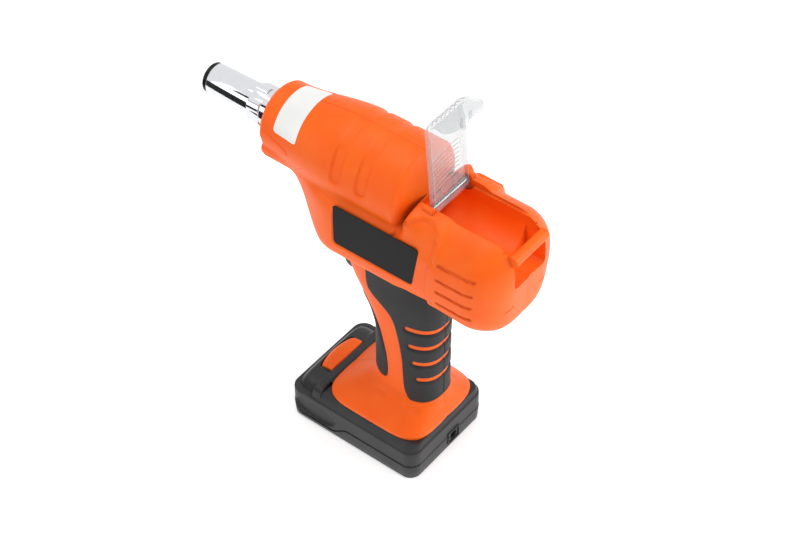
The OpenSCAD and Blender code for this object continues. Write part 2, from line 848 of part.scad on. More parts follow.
// Bearing with two grooved rings and a row of balls between them
module ball_bearing(x0, w, bore, r, balls) {
    pitch = (bore + r) / 2;
    ball = min(w, r - bore) * 0.28;
    translate([x0, 0, axis_z])
        rotate([0, 90, 0]) {
            rotate_extrude()
                difference() {
                    union() {
                        translate([bore, 0])
                            square([pitch - bore - 0.6, w]);
                        translate([pitch + 0.6, 0])
                            square([r - pitch - 0.6, w]);
                    }
                    translate([pitch, w / 2])
                        circle(r = ball + 0.03);
                }
            for (i = [0:balls - 1]) {
                rotate([0, 0, 360 * i / balls])
                    translate([pitch, 0, w / 2])
                        sphere(r = ball);
            }
        }
}

module nut_bearing() {
    color("#c9cdd0")
        ball_bearing(nut_back_x + 0.6, 5, 9.02, 14.98, 9);
}

module thrust_bearing() {
    color("#c9cdd0")
        translate([nut_front_x + 0.05, 0, axis_z])
            rotate([0, 90, 0]) {
                rotate_extrude()
                    difference() {
                        translate([8.6, 0])
                            square([6.2, 4.9]);
                        translate([8, 2.05])
                            square([8, 0.8]);
                        translate([11.7, 2.45])
                            circle(r = 1.53);
                    }
                for (i = [0:11]) {
                    rotate([0, 0, 30 * i])
                        translate([11.7, 0, 2.45])
                            sphere(r = 1.5);
                }
            }
}

module guide_tube() {
    color("#c9cdd0")
        tube(bay_front_x - 0.5, -2, guide_r, 2.6);
}

// Planet carrier with its three pins and the pinion's shaft
module pinion() {
    phase = 180 / pinion_teeth;
    color("#8d9296")
        union() {
            gear(gear_x, spur_w, spur_m, pinion_teeth, motor_z, phase);
            rod(carrier_x, carrier_x + 3, 12.5, motor_z);
            rod(carrier_x + 2.5, flange_x + flange_t - 0.3, 4, motor_z);
            for (i = [0:planet_count - 1]) {
                a = 360 * i / planet_count;
                translate([carrier_x - planet_w - 0.2, planet_orbit * sin(a), motor_z + planet_orbit * cos(a)])
                    rotate([0, 90, 0])
                        cylinder(r = 1.5, h = planet_w + 0.3);
            }
        }
}

// One planet gear on its pin
module planet(i) {
    a = 360 * i / planet_count;
    mesh = 180 - a;
    phase = mesh + 180 - 180 / planet_teeth + mesh * sun_teeth / planet_teeth;
    color("#a9aeb1")
        translate([carrier_x - planet_w - 0.1, planet_orbit * sin(a), motor_z + planet_orbit * cos(a)])
            rotate([0, 90, 0])
                difference() {
                    linear_extrude(planet_w)
                        gear_2d(planet_m, planet_teeth, 0.1, phase);
                    translate([0, 0, -1])
                        cylinder(r = 1.55, h = planet_w + 2);
                }
}

module planet_a() { planet(0); }
module planet_b() { planet(1); }
module planet_c() { planet(2); }

// Ring gear in its case, closed by the plate and the motor
module ring_gear() {
    color("#8d9296")
        translate([motor_front_x + 0.02, 0, motor_z])
            rotate([0, 90, 0])
                linear_extrude(ring_case_len - 0.04)
                    difference() {
                        circle(r = ring_case_r);
                        ring_space_2d();
                    }
}

// Space inside the ring gear: the gaps between its teeth
module ring_space_2d() {
    pr = planet_m * ring_teeth / 2;
    step = 360 / ring_teeth;
    half = 90 / ring_teeth + 0.1 / pr * 57.3;
    polygon([for (i = [0:ring_teeth - 1]) each [
        (pr - 0.8 * planet_m) * [cos(i * step - half * 1.5), sin(i * step - half * 1.5)],
        (pr + 1.2 * planet_m) * [cos(i * step - half * 0.55), sin(i * step - half * 0.55)],
        (pr + 1.2 * planet_m) * [cos(i * step + half * 0.55), sin(i * step + half * 0.55)],
        (pr - 0.8 * planet_m) * [cos(i * step + half * 1.5), sin(i * step + half * 1.5)]]]);
}

module motor_can() {
    color("#6f7477")
        difference() {
            union() {
                rod(motor_back_x, motor_front_x, motor_r, motor_z);
                rod(motor_back_x - 3, motor_back_x + eps, 5, motor_z);
            }
            rod(motor_back_x + 2.5, motor_front_x - 2.5, motor_r - 1.5, motor_z);
            rod(motor_back_x - 4, motor_front_x + 1, shaft_r + 0.05, motor_z);
        }
}

module motor_rotor() {
    color("#a5673f")
        union() {
            rod(motor_back_x - 2, carrier_x - 0.4, shaft_r, motor_z);
            rod(motor_back_x + 9, motor_front_x - 7, motor_r - 4.5, motor_z);
            rod(motor_back_x + 4, motor_back_x + 9, 5, motor_z);
            gear(carrier_x - planet_w - 0.6, planet_w, planet_m, sun_teeth, motor_z, 0, 0.1);
        }
}

module switch_module() {
    color("#2f3133")
        union() {
            slab(-15.7, 7, 16, switch_low_z, switch_top_z);
            slab(6.9, 8, 7, switch_low_z + 9, switch_low_z + 17);
        }
}

// Trigger block with its rounded front and the stem that works the switch
module trigger() {
    color("#4a4d50")
        difference() {
            translate([0, trigger_w / 2, 0])
                rotate([90, 0, 0])
                    linear_extrude(trigger_w)
                        trigger_side_2d();
            // Pocket for the spring
            translate([trigger_back_x - face_gap, 0, 146])
                rotate([0, 90, 0])
                    cylinder(r = 3.3, h = 8);
        }
}

module trigger_side_2d() {
    polygon([[trigger_back_x, 130], [17, 127.2], [22.5, 127], [25.5, 128.5], [26.6, 132], [26.2, 140],
        [26.8, 148], [27.5, belly_z - 1], [trigger_back_x, belly_z - 1]]);
}

module trigger_spring() {
    color("#b9bdc0")
        coil(8.02, 21.6, 2.5, 0.35, 6, 146);
}

module control_board() {
    color("#1f5a3a")
        union() {
            slab(-36, board_front_x, 38, board_z, board_z + board_t);
            slab(-30, -14, 18, board_z + board_t - eps, board_z + board_t + 1.9);
            slab(-6, 4, 24, board_z + board_t - eps, board_z + board_t + 1.9);
        }
}

// Block with four contact blades, facing forward
module terminal_block() {
    color("#2f3133")
        union() {
            slab(rail_back_x - 7.7, rail_back_x - 1, 2 * rail_neck - 1, seat_z + 1, seat_z + rail_h + 0.4);
            for (y = [-15, -5, 5, 15]) {
                translate([rail_back_x - 2, y - 0.5, seat_z + 2.5])
                    cube([8, 1, 2.6]);
            }
        }
}

module housing_screws() {
    color("#8d9296")
        for (p = screw_spots) {
            translate([p[0], -screw_len / 2 - 2, p[1]])
                rotate([-90, 0, 0])
                    union() {
                        cylinder(r = screw_core_r - 0.02, h = screw_len);
                        difference() {
                            cylinder(r = screw_head_r, h = 2);
                            translate([0, 0, -1])
                                cylinder(r = 1.3, h = 2, $fn = 6);
                        }
                    }
        }
}

// Outline of the battery, seen from above
module pack_2d(inset = 0) {
    offset(r = 9 - inset)
        square([pack_len - 18, pack_w - 18], center = true);
}

module battery_lower() {
    color("#3a3b3d")
        difference() {
            union() {
                hull() {
                    linear_extrude(0.5)
                        pack_2d(1.6);
                    translate([0, 0, 2.5])
                        linear_extrude(1)
                            pack_2d();
                }
                translate([0, 0, 3])
                    linear_extrude(pack_low_h - 3)
                        pack_2d();
            }
            cell_space();
            socket_space();
        }
}

function cell_x(i) = cells_mid_x + (i - (cell_count - 1) / 2) * cell_pitch;

module cell_space() {
    for (i = [0:cell_count - 1]) {
        translate([cell_x(i), 0, cell_z])
            rotate([90, 0, 0])
                cylinder(r = cell_r + 0.05, h = cell_len + 1, center = true);
    }
}

module socket_space() {
    translate([-pack_len / 2 - 1, socket_y - 5, socket_z - 3.9])
        cube([8.5, 10, 7.8]);
}

// Upper shell with the rail and the hump that holds the release button
module battery_upper() {
    color("#3a3b3d")
        difference() {
            union() {
                translate([0, 0, pack_low_h + 0.05])
                    linear_extrude(shoulder_z - pack_low_h - 0.05)
                        pack_2d(0.4);
                // Sloped shoulder round the face that the foot stands on
                hull() {
                    translate([0, 0, shoulder_z - 0.2])
                        linear_extrude(0.1)
                            shoulder_2d();
                    translate([0, 0, seat_z - 0.1])
                        linear_extrude(0.1)
                            seat_2d();
                }
                // Raised front that holds the release button
                hull() {
                    translate([0, 0, shoulder_z - 0.6])
                        linear_extrude(0.1)
                            hump_2d(3.4);
                    translate([foot_front_x + 1, -30, seat_z - 0.4])
                        cube([3.5, 60, 2.6]);
                    translate([foot_front_x + 1, -26, seat_z - 1])
                        cube([16.2, 52, 1.2]);
                }
                slab(rail_back_x, foot_front_x + 2, 2 * rail_neck, seat_z - 1, seat_z + 4);
                slab(rail_back_x, foot_front_x + 2, 2 * rail_flange, seat_z + 3.2, seat_z + rail_h);
            }
            cell_space();
            slab(cell_x(0), cell_x(cell_count - 1), cell_len + 1, 0, cell_z + 4);
            socket_space();
            release_space();
            for (y = [-15, -5, 5, 15]) {
                translate([rail_back_x - 1, y - 1, seat_z + 2])
                    cube([10, 2, 4]);
            }
        }
}

// Outline of the battery's shoulder, as far as the front of the foot
module shoulder_2d() {
    intersection() {
        pack_2d(0.4);
        translate([-pack_len, -pack_w / 2])
            square([pack_len + foot_front_x + 2.5, pack_w]);
    }
}

// Outline of the face that the foot stands on
module seat_2d() {
    offset(r = 6)
        translate([foot_back_x + 6, 6 - foot_half_w])
            square([foot_front_x + 2.5 - foot_back_x - 12, 2 * foot_half_w - 12]);
}

// Outline of the battery ahead of the foot
module hump_2d(inset) {
    intersection() {
        pack_2d(inset);
        translate([foot_front_x + 1, -pack_w / 2])
            square([pack_len, pack_w]);
    }
}

module release_space() {
    translate([0, 0, seat_z - 5.5])
        linear_extrude(20)
            release_2d(face_gap);
}

// Outline of the release button from above, its front edge an arc
module release_2d(gap = 0) {
    bow = 44;
    intersection() {
        translate([release_x - release_a - gap, -release_w / 2 - gap])
            square([2 * release_a + 2 * gap, release_w + 2 * gap]);
        translate([release_x + release_a - bow, 0])
            circle(r = bow + gap);
    }
}

module battery_cells() {
    color("#3f8f6a")
        for (i = [0:cell_count - 1]) {
            translate([cell_x(i), 0, cell_z])
                rotate([90, 0, 0])
                    cylinder(r = cell_r, h = cell_len, center = true);
        }
}

module release_button() {
    color("#ff6a1c")
        difference() {
            intersection() {
                translate([release_x, release_w / 2, seat_z])
                    rotate([90, 0, 0])
                        linear_extrude(release_w)
                            polygon([[-release_a, -2], [-release_a, 1.8], [-release_a + 1, 2.8], [0, 3],
                                [release_a - 2, 1.8], [release_a, -0.4], [release_a, -2]]);
                translate([0, 0, seat_z - 3])
                    linear_extrude(9)
                        release_2d();
            }
            for (y = [-8, 8]) {
                translate([release_x, y, seat_z - 3])
                    cylinder(r = 3, h = 3.5);
            }
        }
}

module release_spring() {
    color("#b9bdc0")
        for (y = [-8, 8]) {
            translate([release_x, y, seat_z - 5.45])
                rotate([0, -90, 0])
                    coil(0, 5.9, 2.2, 0.35, 4, 0);
        }
}

// Direct-current socket in the rear face
module charge_socket() {
    x0 = -pack_len / 2;
    color("#1d1e20")
        translate([x0 + 0.2, socket_y, socket_z])
            rotate([0, 90, 0])
                difference() {
                    translate([-3.6, -4.7, 0])
                        cube([7.2, 9.4, 7]);
                    translate([0, 0, -1])
                        cylinder(r = socket_r, h = 4);
                    difference() {
                        translate([0, 0, 2.9])
                            cylinder(r = socket_r - 0.3, h = 3);
                        translate([0, 0, 2.9])
                            cylinder(r = 1, h = 4);
                    }
                }
}

module label_side(low) {
    intersection() {
        difference() {
            body_half(label_t, label_rings);
            body_half(0, label_rings);
        }
        translate([label_back_x, -1, axis_z + low])
            cube([label_w, 60, 60]);
    }
}

// Bare white label wrapped over the snout, from its left side past the top
module snout_label() {
    color("#f4f4f2") {
        label_side(3.5);
        mirror([0, 1, 0])
            label_side(13);
    }
}

module side_label() {
    color("#17181a")
        translate([side_label_x, body_half_w - 1 + 0.02, side_label_z])
            rotate([-90, 0, 0])
                linear_extrude(label_t)
                    side_label_2d(2.7);
}

housing_left();
housing_right();
grip_left();
grip_right();
collector_cover();
hinge_pin();
catch_bar();
nose_sleeve();
nosepiece();
front_frame();
rear_plate();
jaw_case();
jaws();
jaw_pusher();
jaw_spring();
ball_screw();
torque_pin();
ball_nut();
thrust_bearing();
nut_bearing();
guide_tube();
pinion();
planet_a();
planet_b();
planet_c();
ring_gear();
motor_can();
motor_rotor();
switch_module();
trigger();
trigger_spring();
control_board();
terminal_block();
housing_screws();
battery_lower();
battery_upper();
battery_cells();
release_button();
release_spring();
charge_socket();
snout_label();
side_label();
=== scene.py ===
# %% [markdown]
# # A cordless riveter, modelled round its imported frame
#
# The tool stands on its battery. A moulded orange body holds the motor and the pulling gear, a chromed
# sleeve leads out of its front, and a clear cover closes the bay at the back where spent mandrels drop.
# The CAD model fixes every size and every joint. This script gives the same pieces their finer surfaces
# and their materials. Sizes are written in millimetres and turned into metres when a mesh is made.

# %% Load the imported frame
import bpy
import math
import numpy as np
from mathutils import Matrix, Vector


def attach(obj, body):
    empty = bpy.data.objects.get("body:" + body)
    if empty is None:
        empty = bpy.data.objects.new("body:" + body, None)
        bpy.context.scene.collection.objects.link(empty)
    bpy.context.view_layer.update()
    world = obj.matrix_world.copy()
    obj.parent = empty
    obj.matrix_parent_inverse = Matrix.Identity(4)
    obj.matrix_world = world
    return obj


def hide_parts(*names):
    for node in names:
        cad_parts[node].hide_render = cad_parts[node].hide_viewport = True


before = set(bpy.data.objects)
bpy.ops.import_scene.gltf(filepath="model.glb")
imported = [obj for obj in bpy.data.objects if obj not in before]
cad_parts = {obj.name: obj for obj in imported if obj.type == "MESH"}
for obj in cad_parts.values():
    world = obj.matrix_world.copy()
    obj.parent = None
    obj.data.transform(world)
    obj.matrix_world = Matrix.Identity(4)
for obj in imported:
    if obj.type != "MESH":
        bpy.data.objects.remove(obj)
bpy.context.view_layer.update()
MM = 0.001

# %% [markdown]
# ## Tools for making shapes
#
# A moulding has hardly a hard edge: its forms fade into each other. So the first tool is a smooth step,
# and most of the formulas below use it. The second finishes a mesh. A mesh from numpy is only points and
# faces, and it reads as a real piece when it is smooth over gentle curves and sharp over true edges. A
# modifier could do that, but marking the sharp edges once keeps the mesh closed. The same function turns
# the faces outwards, by the sign of the volume that they enclose, and gives the piece to the body it
# moves with.

# %% A smooth step and the finish of a mesh
def ramp(x, a, b):
    """Smooth step from 0 at a to 1 at b: t squared times (3 minus 2 t). b may be less than a."""
    t = np.clip((np.asarray(x, float) - a) / (b - a), 0, 1)
    return t * t * (3 - 2 * t)


def finish_mesh(obj, body, material, angle=32):
    """Smooth shading with sharp creases above the angle, faces outwards, one material, and its body."""
    mesh = obj.data
    mesh.calc_loop_triangles()
    v = np.empty(len(mesh.vertices) * 3)
    mesh.vertices.foreach_get("co", v)
    v = v.reshape(-1, 3)
    tri = np.empty(len(mesh.loop_triangles) * 3, int)
    mesh.loop_triangles.foreach_get("vertices", tri)
    a, b, c = (v[tri[k::3]] for k in range(3))
    if np.einsum("ij,ij->i", a, np.cross(b, c)).sum() < 0:
        mesh.flip_normals()
    mesh.shade_smooth()
    mesh.set_sharp_from_angle(angle=math.radians(angle))
    mesh.materials.clear()
    if material:
        mesh.materials.append(material)
    if body:
        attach(obj, body)
    return obj


print("smooth step half way:", float(ramp(0.5, 0.0, 1.0)))

# %% [markdown]
# Nearly every piece is a grid: rows of points, each row a closed ring, with the first and last row closed
# by a cap. Extruded curves or subdivided blocks would be quicker to draw, but a grid can be worked out as
# one array, follows a formula exactly and is closed by its nature. A solid of revolution with a bore is a
# grid whose last row joins its first.

# %% A mesh from rings of points
def grid_piece(name, rings, body=None, material=None, wrap=False, angle=32):
    """Mesh over rings of points, shape (rows, points, 3) in mm. Each ring is closed. The ends get caps, or
    with wrap the last row joins the first, as on a ring-shaped solid."""
    rows, cols = rings.shape[:2]
    i, j = np.meshgrid(np.arange(rows if wrap else rows - 1), np.arange(cols), indexing="ij")
    here, right = i * cols + j, i * cols + (j + 1) % cols
    up = ((i + 1) % rows) * cols
    quads = np.stack([here, right, up + (j + 1) % cols, up + j], -1).reshape(-1, 4)
    faces = quads.tolist()
    if not wrap:
        faces += [list(range(cols - 1, -1, -1)), [(rows - 1) * cols + k for k in range(cols)]]
    mesh = bpy.data.meshes.new(name)
    mesh.from_pydata((rings.reshape(-1, 3) * MM).tolist(), [], faces)
    mesh.validate()
    obj = bpy.data.objects.new(name, mesh)
    bpy.context.scene.collection.objects.link(obj)
    return finish_mesh(obj, body, material, angle)


print("ring grids ready")

# %% [markdown]
# Joints, slots and bays are made as on the real tool's mould: one solid is taken from another. The
# Boolean modifier does that on closed meshes, and applying it at once leaves a plain mesh.

# %% Join and cut solids
def combine(obj, others, operation):
    """Boolean of obj with the other solids in turn, applied to obj's mesh. The others are used up."""
    for other in others:
        step = obj.modifiers.new("combine", "BOOLEAN")
        step.operation, step.solver, step.object = operation, "MANIFOLD", other
    graph = bpy.context.evaluated_depsgraph_get()
    mesh = bpy.data.meshes.new_from_object(obj.evaluated_get(graph))
    obj.modifiers.clear()
    obj.data = mesh
    for other in others:
        bpy.data.objects.remove(other)


print("joining and cutting ready")

# %% [markdown]
# Three kinds of simple solid are used as pieces and as cutters: turned ones, blocks with rounded edges
# and straight rods. Each is worked out as rings, so it can go through the same function.

# %% Rings of simple solids
def turned(profile, axis_z, steps=96):
    """Rings of a solid of revolution about a line along X: profile is (station, radius) pairs in mm."""
    p = np.asarray(profile, float)
    a = np.linspace(0, 2 * np.pi, steps, endpoint=False)
    y, z = p[:, 1:] * np.cos(a), axis_z + p[:, 1:] * np.sin(a)
    return np.stack([np.repeat(p[:, :1], steps, 1), y, z], -1)


def block_rings(x0, x1, half_w, z0, z1, r=0.0, steps=6):
    """Rings of a block along X with its four long edges rounded to r: two equal rounded rectangles."""
    r = max(r, 1e-3)
    a = np.linspace(0, np.pi / 2, steps)
    inset = half_w - r
    corners = [(inset, z1 - r, 0), (-inset, z1 - r, 1), (-inset, z0 + r, 2), (inset, z0 + r, 3)]
    y = np.concatenate([cy + r * np.cos(a + k * np.pi / 2) for cy, _, k in corners])
    z = np.concatenate([cz + r * np.sin(a + k * np.pi / 2) for _, cz, k in corners])
    return np.stack([np.stack([np.full_like(y, x), y, z], -1) for x in (x0, x1)])


def rod_rings(start, end, r, steps=32):
    """Rings of a straight round rod from start to end."""
    start, end = np.asarray(start, float), np.asarray(end, float)
    d = (end - start) / np.linalg.norm(end - start)
    u = np.cross(d, [0.0, 0.0, 1.0] if abs(d[2]) < 0.9 else [1.0, 0.0, 0.0])
    u /= np.linalg.norm(u)
    a = np.linspace(0, 2 * np.pi, steps, endpoint=False)[:, None]
    ring = r * (np.cos(a) * u + np.sin(a) * np.cross(d, u))
    return np.stack([ring + start, ring + end])


def moved_y(rings, y):
    """The same grid, moved y mm to the left."""
    return rings + np.array([0.0, y, 0.0])


print("shape tools ready")

# %% [markdown]
# ## Camera
#
# The lens and the place of the camera were solved from the photograph's upright and lengthwise lines. A
# camera set by eye would match one edge and miss another, and solving it makes every outline comparable.
# It looks down at 45 degrees from behind the tool's left side.

# %% Set up the camera
camera_data = bpy.data.cameras.new("camera")
camera_data.lens = 92.68
camera_data.sensor_width = 36
camera = bpy.data.objects.new("camera", camera_data)
bpy.context.scene.collection.objects.link(camera)
eye = Vector((-552.5, 695.5, 1018.3)) * MM
aim = Vector((-11.0, 0.0, 139.9)) * MM
camera.location = eye
camera.rotation_euler = (aim - eye).to_track_quat("-Z", "Y").to_euler()
bpy.context.scene.camera = camera
print("camera distance in m:", round((aim - eye).length, 3))

# %% [markdown]
# ## Materials
#
# Each material is a small node tree. Colours are written as the hexadecimal values seen in the
# photograph, and one function makes them linear, because a shader adds light and not screen values. A
# second small function adds a node with its settings and links.

# %% Colours and nodes
def linear(hex_colour):
    """sRGB hexadecimal to linear RGBA: a channel c above 0.04045 becomes ((c + 0.055) / 1.055) ** 2.4."""
    c = np.array([int(hex_colour[k:k + 2], 16) for k in (1, 3, 5)]) / 255
    return (*np.where(c > 0.04045, ((c + 0.055) / 1.055) ** 2.4, c / 12.92), 1.0)


def feed(owner, node, feeds):
    """Links a node of owner, a material or a world. feeds maps an input's name or number to an output."""
    for socket, output in feeds.items():
        owner.node_tree.links.new(output, node.inputs[socket])


def add(owner, kind, feeds=(), **values):
    """Adds one node with its links. Each value is the default of the input socket of that name, or else a
    setting of the node."""
    node = owner.node_tree.nodes.new(kind)
    for key, value in values.items():
        name = key.replace("_", " ")
        if name in node.inputs:
            node.inputs[name].default_value = value
        else:
            setattr(node, key, value)
    feed(owner, node, dict(feeds))
    return node


print("orange of the body, linear:", [round(float(c), 3) for c in linear("#ff6410")])

# %% [markdown]
# Moulded plastic and rubber take their surface from the mould. The housing's was spark-eroded, which
# leaves a fine grain that breaks the highlights up. A grain as fine as the real one, some hundredths of a
# millimetre, would vanish at this distance, so it is drawn about ten times coarser. An ambient occlusion
# node darkens grooves and joints, where light hardly reaches, and a bevel node softens the light on cut
# edges, where a moulding has a small radius. Bevelling those edges in the mesh would cost far more faces.

# %% Moulded plastic and rubber
PATCH_MM, NOOK_MM = 18, 5
GLOSS_SPREAD = 0.06


def moulded(name, low, high, grain_mm, rough, bump_mm, edge_mm=0.5, spec=0.5):
    """Two close tones over broad soft patches, painted shade in grooves and joints, a fine grain in the
    roughness and in the bump, and softened edges."""
    m = bpy.data.materials.new(name)
    m.use_nodes = True
    shader = m.node_tree.nodes["Principled BSDF"]
    place = add(m, "ShaderNodeTexCoord").outputs["Object"]
    patch = add(m, "ShaderNodeTexNoise", {"Vector": place}, Scale=1000 / PATCH_MM, Detail=2.0)
    grain = add(m, "ShaderNodeTexNoise", {"Vector": place}, Scale=1000 / grain_mm,
                Detail=2.5, Roughness=0.6)
    tint = add(m, "ShaderNodeValToRGB", {"Fac": patch.outputs["Fac"]})
    for stop, colour, position in zip(tint.color_ramp.elements, (low, high), (0.35, 0.65)):
        stop.color, stop.position = linear(colour), position
    gloss = add(m, "ShaderNodeMapRange", {"Value": grain.outputs["Fac"]},
                To_Min=rough - GLOSS_SPREAD, To_Max=rough + GLOSS_SPREAD)
    # Painted shade: where ambient occlusion finds grooves and joints, the base colour darkens towards 45
    # percent of the low tone
    nook = add(m, "ShaderNodeAmbientOcclusion", samples=6, Distance=NOOK_MM * MM)
    deep = add(m, "ShaderNodeMapRange", {"Value": nook.outputs["AO"]}, From_Min=0.25, From_Max=0.85)
    shade = add(m, "ShaderNodeMix", data_type="RGBA", blend_type="MIX")
    shade.inputs["A"].default_value = tuple(0.45 * c for c in linear(low)[:3]) + (1.0,)
    feed(m, shade, {"Factor": deep.outputs["Result"], "B": tint.outputs["Color"]})
    edge = add(m, "ShaderNodeBevel", samples=4, Radius=edge_mm * MM)
    bump = add(m, "ShaderNodeBump", {"Height": grain.outputs["Fac"], "Normal": edge.outputs["Normal"]},
               Strength=1.0, Distance=bump_mm * MM)
    feed(m, shader, {"Base Color": shade.outputs["Result"], "Roughness": gloss.outputs["Result"],
                     "Normal": bump.outputs["Normal"]})
    shader.inputs["Specular IOR Level"].default_value = spec
    return m


# Glass-filled nylon with an eroded surface: the eye gets a warm satin sheen and no clear reflection
orange = moulded("Orange glass-filled nylon, spark-eroded satin", "#ff6410", "#ff6b18", 0.55, 0.42, 0.030,
                 0.6, spec=0.22)
# The button's mould was finished a little finer, so its grain is smaller
deep_orange = moulded("Orange nylon, release button, fine satin", "#ff6410", "#ff6c18", 0.45, 0.40, 0.02,
                      0.6, spec=0.22)
# Soft rubber scatters more light than the nylon and has no sharp highlight
rubber = moulded("Black thermoplastic rubber, overmoulded", "#212224", "#292a2c", 0.35, 0.55, 0.022,
                 0.5, spec=0.3)
# The battery's case is a harder and slightly glossier black than the rubber
battery_plastic = moulded("Graphite nylon, battery case, fine texture", "#242527", "#2c2d2e", 0.5, 0.42,
                          0.028, 0.5, spec=0.35)
# The trigger is a shade lighter, so that it stands out against the dark gap behind it
trigger_plastic = moulded("Dark grey nylon, trigger, satin", "#2a2b2d", "#313335", 0.45, 0.44, 0.02,
                          0.6, spec=0.35)
# Inserts lie deep in the tool and stay dull
black_plastic = moulded("Black nylon, moulded insert", "#151617", "#1b1c1e", 0.4, 0.5, 0.015, 0.3)
# Printed film under a gloss laminate: smooth, with almost no grain
white_film = moulded("White vinyl label film, gloss laminate", "#f1f1ee", "#f8f8f6", 0.8, 0.30, 0.004,
                     0.1, spec=0.3)
black_film = moulded("Black vinyl label film, gloss laminate", "#020203", "#040506", 0.8, 0.25, 0.004,
                     0.1, spec=0.12)
# Lacquer and shrink sleeve are even and glossy
board_green = moulded("Fibreglass circuit board, green lacquer", "#14502c", "#1a6036", 0.9, 0.35, 0.01, 0.1)
cell_wrap = moulded("Shrink sleeve, cell wrap, polished", "#2f7d5c", "#388c68", 1.2, 0.25, 0.006, 0.3)
print("moulded materials:", len(bpy.data.materials))

# %% [markdown]
# The metal pieces were turned or ground round the nose axis, which leaves fine rings round X. A noise
# that is stretched along the rings gives them: narrow along X and wide across it. Polished chrome keeps
# only a trace of them, and black oxide hides the steel's colour but not its gloss.

# %% Machined and plated steel
RING_SCALE = 40.0


def metal(name, colour, rough, streak_mm, bump_mm=0.004, edge_mm=0.25):
    """Steel with fine rings round the X axis that vary its shade, roughness and bump."""
    m = bpy.data.materials.new(name)
    m.use_nodes = True
    shader = m.node_tree.nodes["Principled BSDF"]
    place = add(m, "ShaderNodeTexCoord").outputs["Object"]
    stretch = add(m, "ShaderNodeMapping", {"Vector": place},
                  Scale=(1000 / streak_mm, RING_SCALE, RING_SCALE))
    streak = add(m, "ShaderNodeTexNoise", {"Vector": stretch.outputs["Vector"]}, Scale=1.0, Detail=3.0)
    rings = streak.outputs["Fac"]
    gloss = add(m, "ShaderNodeMapRange", {"Value": rings}, To_Min=rough * 0.7, To_Max=rough * 1.4)
    tint = add(m, "ShaderNodeMix", data_type="RGBA")
    tint.inputs["A"].default_value = linear(colour)
    tint.inputs["B"].default_value = tuple(0.8 * c for c in linear(colour)[:3]) + (1.0,)
    feed(m, tint, {"Factor": rings})
    edge = add(m, "ShaderNodeBevel", samples=4, Radius=edge_mm * MM)
    bump = add(m, "ShaderNodeBump", {"Height": rings, "Normal": edge.outputs["Normal"]},
               Strength=1.0, Distance=bump_mm * MM)
    feed(m, shader, {"Base Color": tint.outputs["Result"], "Roughness": gloss.outputs["Result"],
                     "Normal": bump.outputs["Normal"]})
    shader.inputs["Metallic"].default_value = 1.0
    return m


# Chrome mirrors its surroundings, so its look comes from the dark cards that are set up at the end
chrome = metal("Chromed steel, polished", "#e9ebee", 0.07, 0.8, 0.0015)
# Black oxide is a thin dark layer with a soft gloss
black_steel = metal("Black oxide steel, nosepiece", "#2a2b2d", 0.32, 0.4)
# Turned steel looks pale and softly ringed, ground steel darker and smoother, and drawn wire bright
machined = metal("Machined steel, gearbox frame", "#9fa3a8", 0.28, 0.35)
ground = metal("Ground hardened steel", "#84888d", 0.2, 0.3)
spring_wire = metal("Drawn spring steel wire", "#b0b3b7", 0.25, 0.5)
# Enamelled wire: the copper's colour under a soft gloss
copper = metal("Copper winding, varnished", "#b06b3c", 0.35, 0.45)
print("materials so far:", len(bpy.data.materials))

# %% [markdown]
# The cover is clear polycarbonate, about 2 mm thick. A glass shader would bend the view of the body
# behind it twice and darken it, while a thin wall of even thickness hardly bends light at all. So the
# wall is transparent, and a pale glossy plastic takes over where it is seen edge on, which draws its
# rims, ridges and ribs.

# %% Clear polycarbonate
FLOW_MM = 1000 / 140


def clear_plastic(name):
    """Transparent seen straight on and pale glossy plastic seen edge on, mixed by the facing angle. Slow
    waves from the flow of the melt, about 7 mm apart, vary its gloss and its surface."""
    m = bpy.data.materials.new(name)
    m.use_nodes = True
    shader = m.node_tree.nodes["Principled BSDF"]
    shader.inputs["Base Color"].default_value = linear("#d3d6d8")
    place = add(m, "ShaderNodeTexCoord").outputs["Object"]
    flow = add(m, "ShaderNodeTexNoise", {"Vector": place}, Scale=1000 / FLOW_MM, Detail=1.0).outputs["Fac"]
    gloss = add(m, "ShaderNodeMapRange", {"Value": flow}, To_Min=0.03, To_Max=0.10)
    bump = add(m, "ShaderNodeBump", {"Height": flow}, Strength=1.0, Distance=0.04 * MM)
    feed(m, shader, {"Roughness": gloss.outputs["Result"], "Normal": bump.outputs["Normal"]})
    through = add(m, "ShaderNodeBsdfTransparent", Color=linear("#f4f5f5"))
    slant = add(m, "ShaderNodeLayerWeight", Blend=0.38)
    pale = add(m, "ShaderNodeMapRange", {"Value": slant.outputs["Facing"]}, From_Min=0.15, From_Max=0.95,
               To_Min=0.04, To_Max=0.80)
    mix = add(m, "ShaderNodeMixShader", {"Fac": pale.outputs["Result"], 1: through.outputs["BSDF"],
                                         2: shader.outputs["BSDF"]})
    feed(m, m.node_tree.nodes["Material Output"], {"Surface": mix.outputs["Shader"]})
    return m


clear = clear_plastic("Clear polycarbonate, moulded cover")
print("materials:", len(bpy.data.materials))

# %% [markdown]
# ## The body's surface
#
# The body is one long form: a round barrel blended into a squared box. Each half is a row of sections
# across X, and a section runs from the top centre down to the bottom centre. Where the circle is wider
# the barrel shows, where the rounded rectangle is wider the box shows, and a rounded maximum blends them.
# Blocks joined by bevels would need a bevel that changes along the seam, and the maximum gives that by
# itself. The formulas follow the CAD model's, sampled about seven times finer.

# %% Body sections
AXIS_Z, BELLY_Z, REAR, SNOUT = 215.0, 157.0, 106.0, 78.0
BARREL_R, SNOUT_R, NUB_R, BODY_W, BOX_W = 30.0, 22.5, 4.0, 34.0, 36.5
CORNER_R, EDGE_R, LIP = 24.0, 6.0, 2.0
FALL_START, FALL_RUN, FALL_DROP = -83.0, 23.3, 20.0
BLEND_MM = 3


def lip(x):
    """Inset of the rim at the snout's front."""
    return LIP * ramp(x, SNOUT - 2.5, SNOUT)


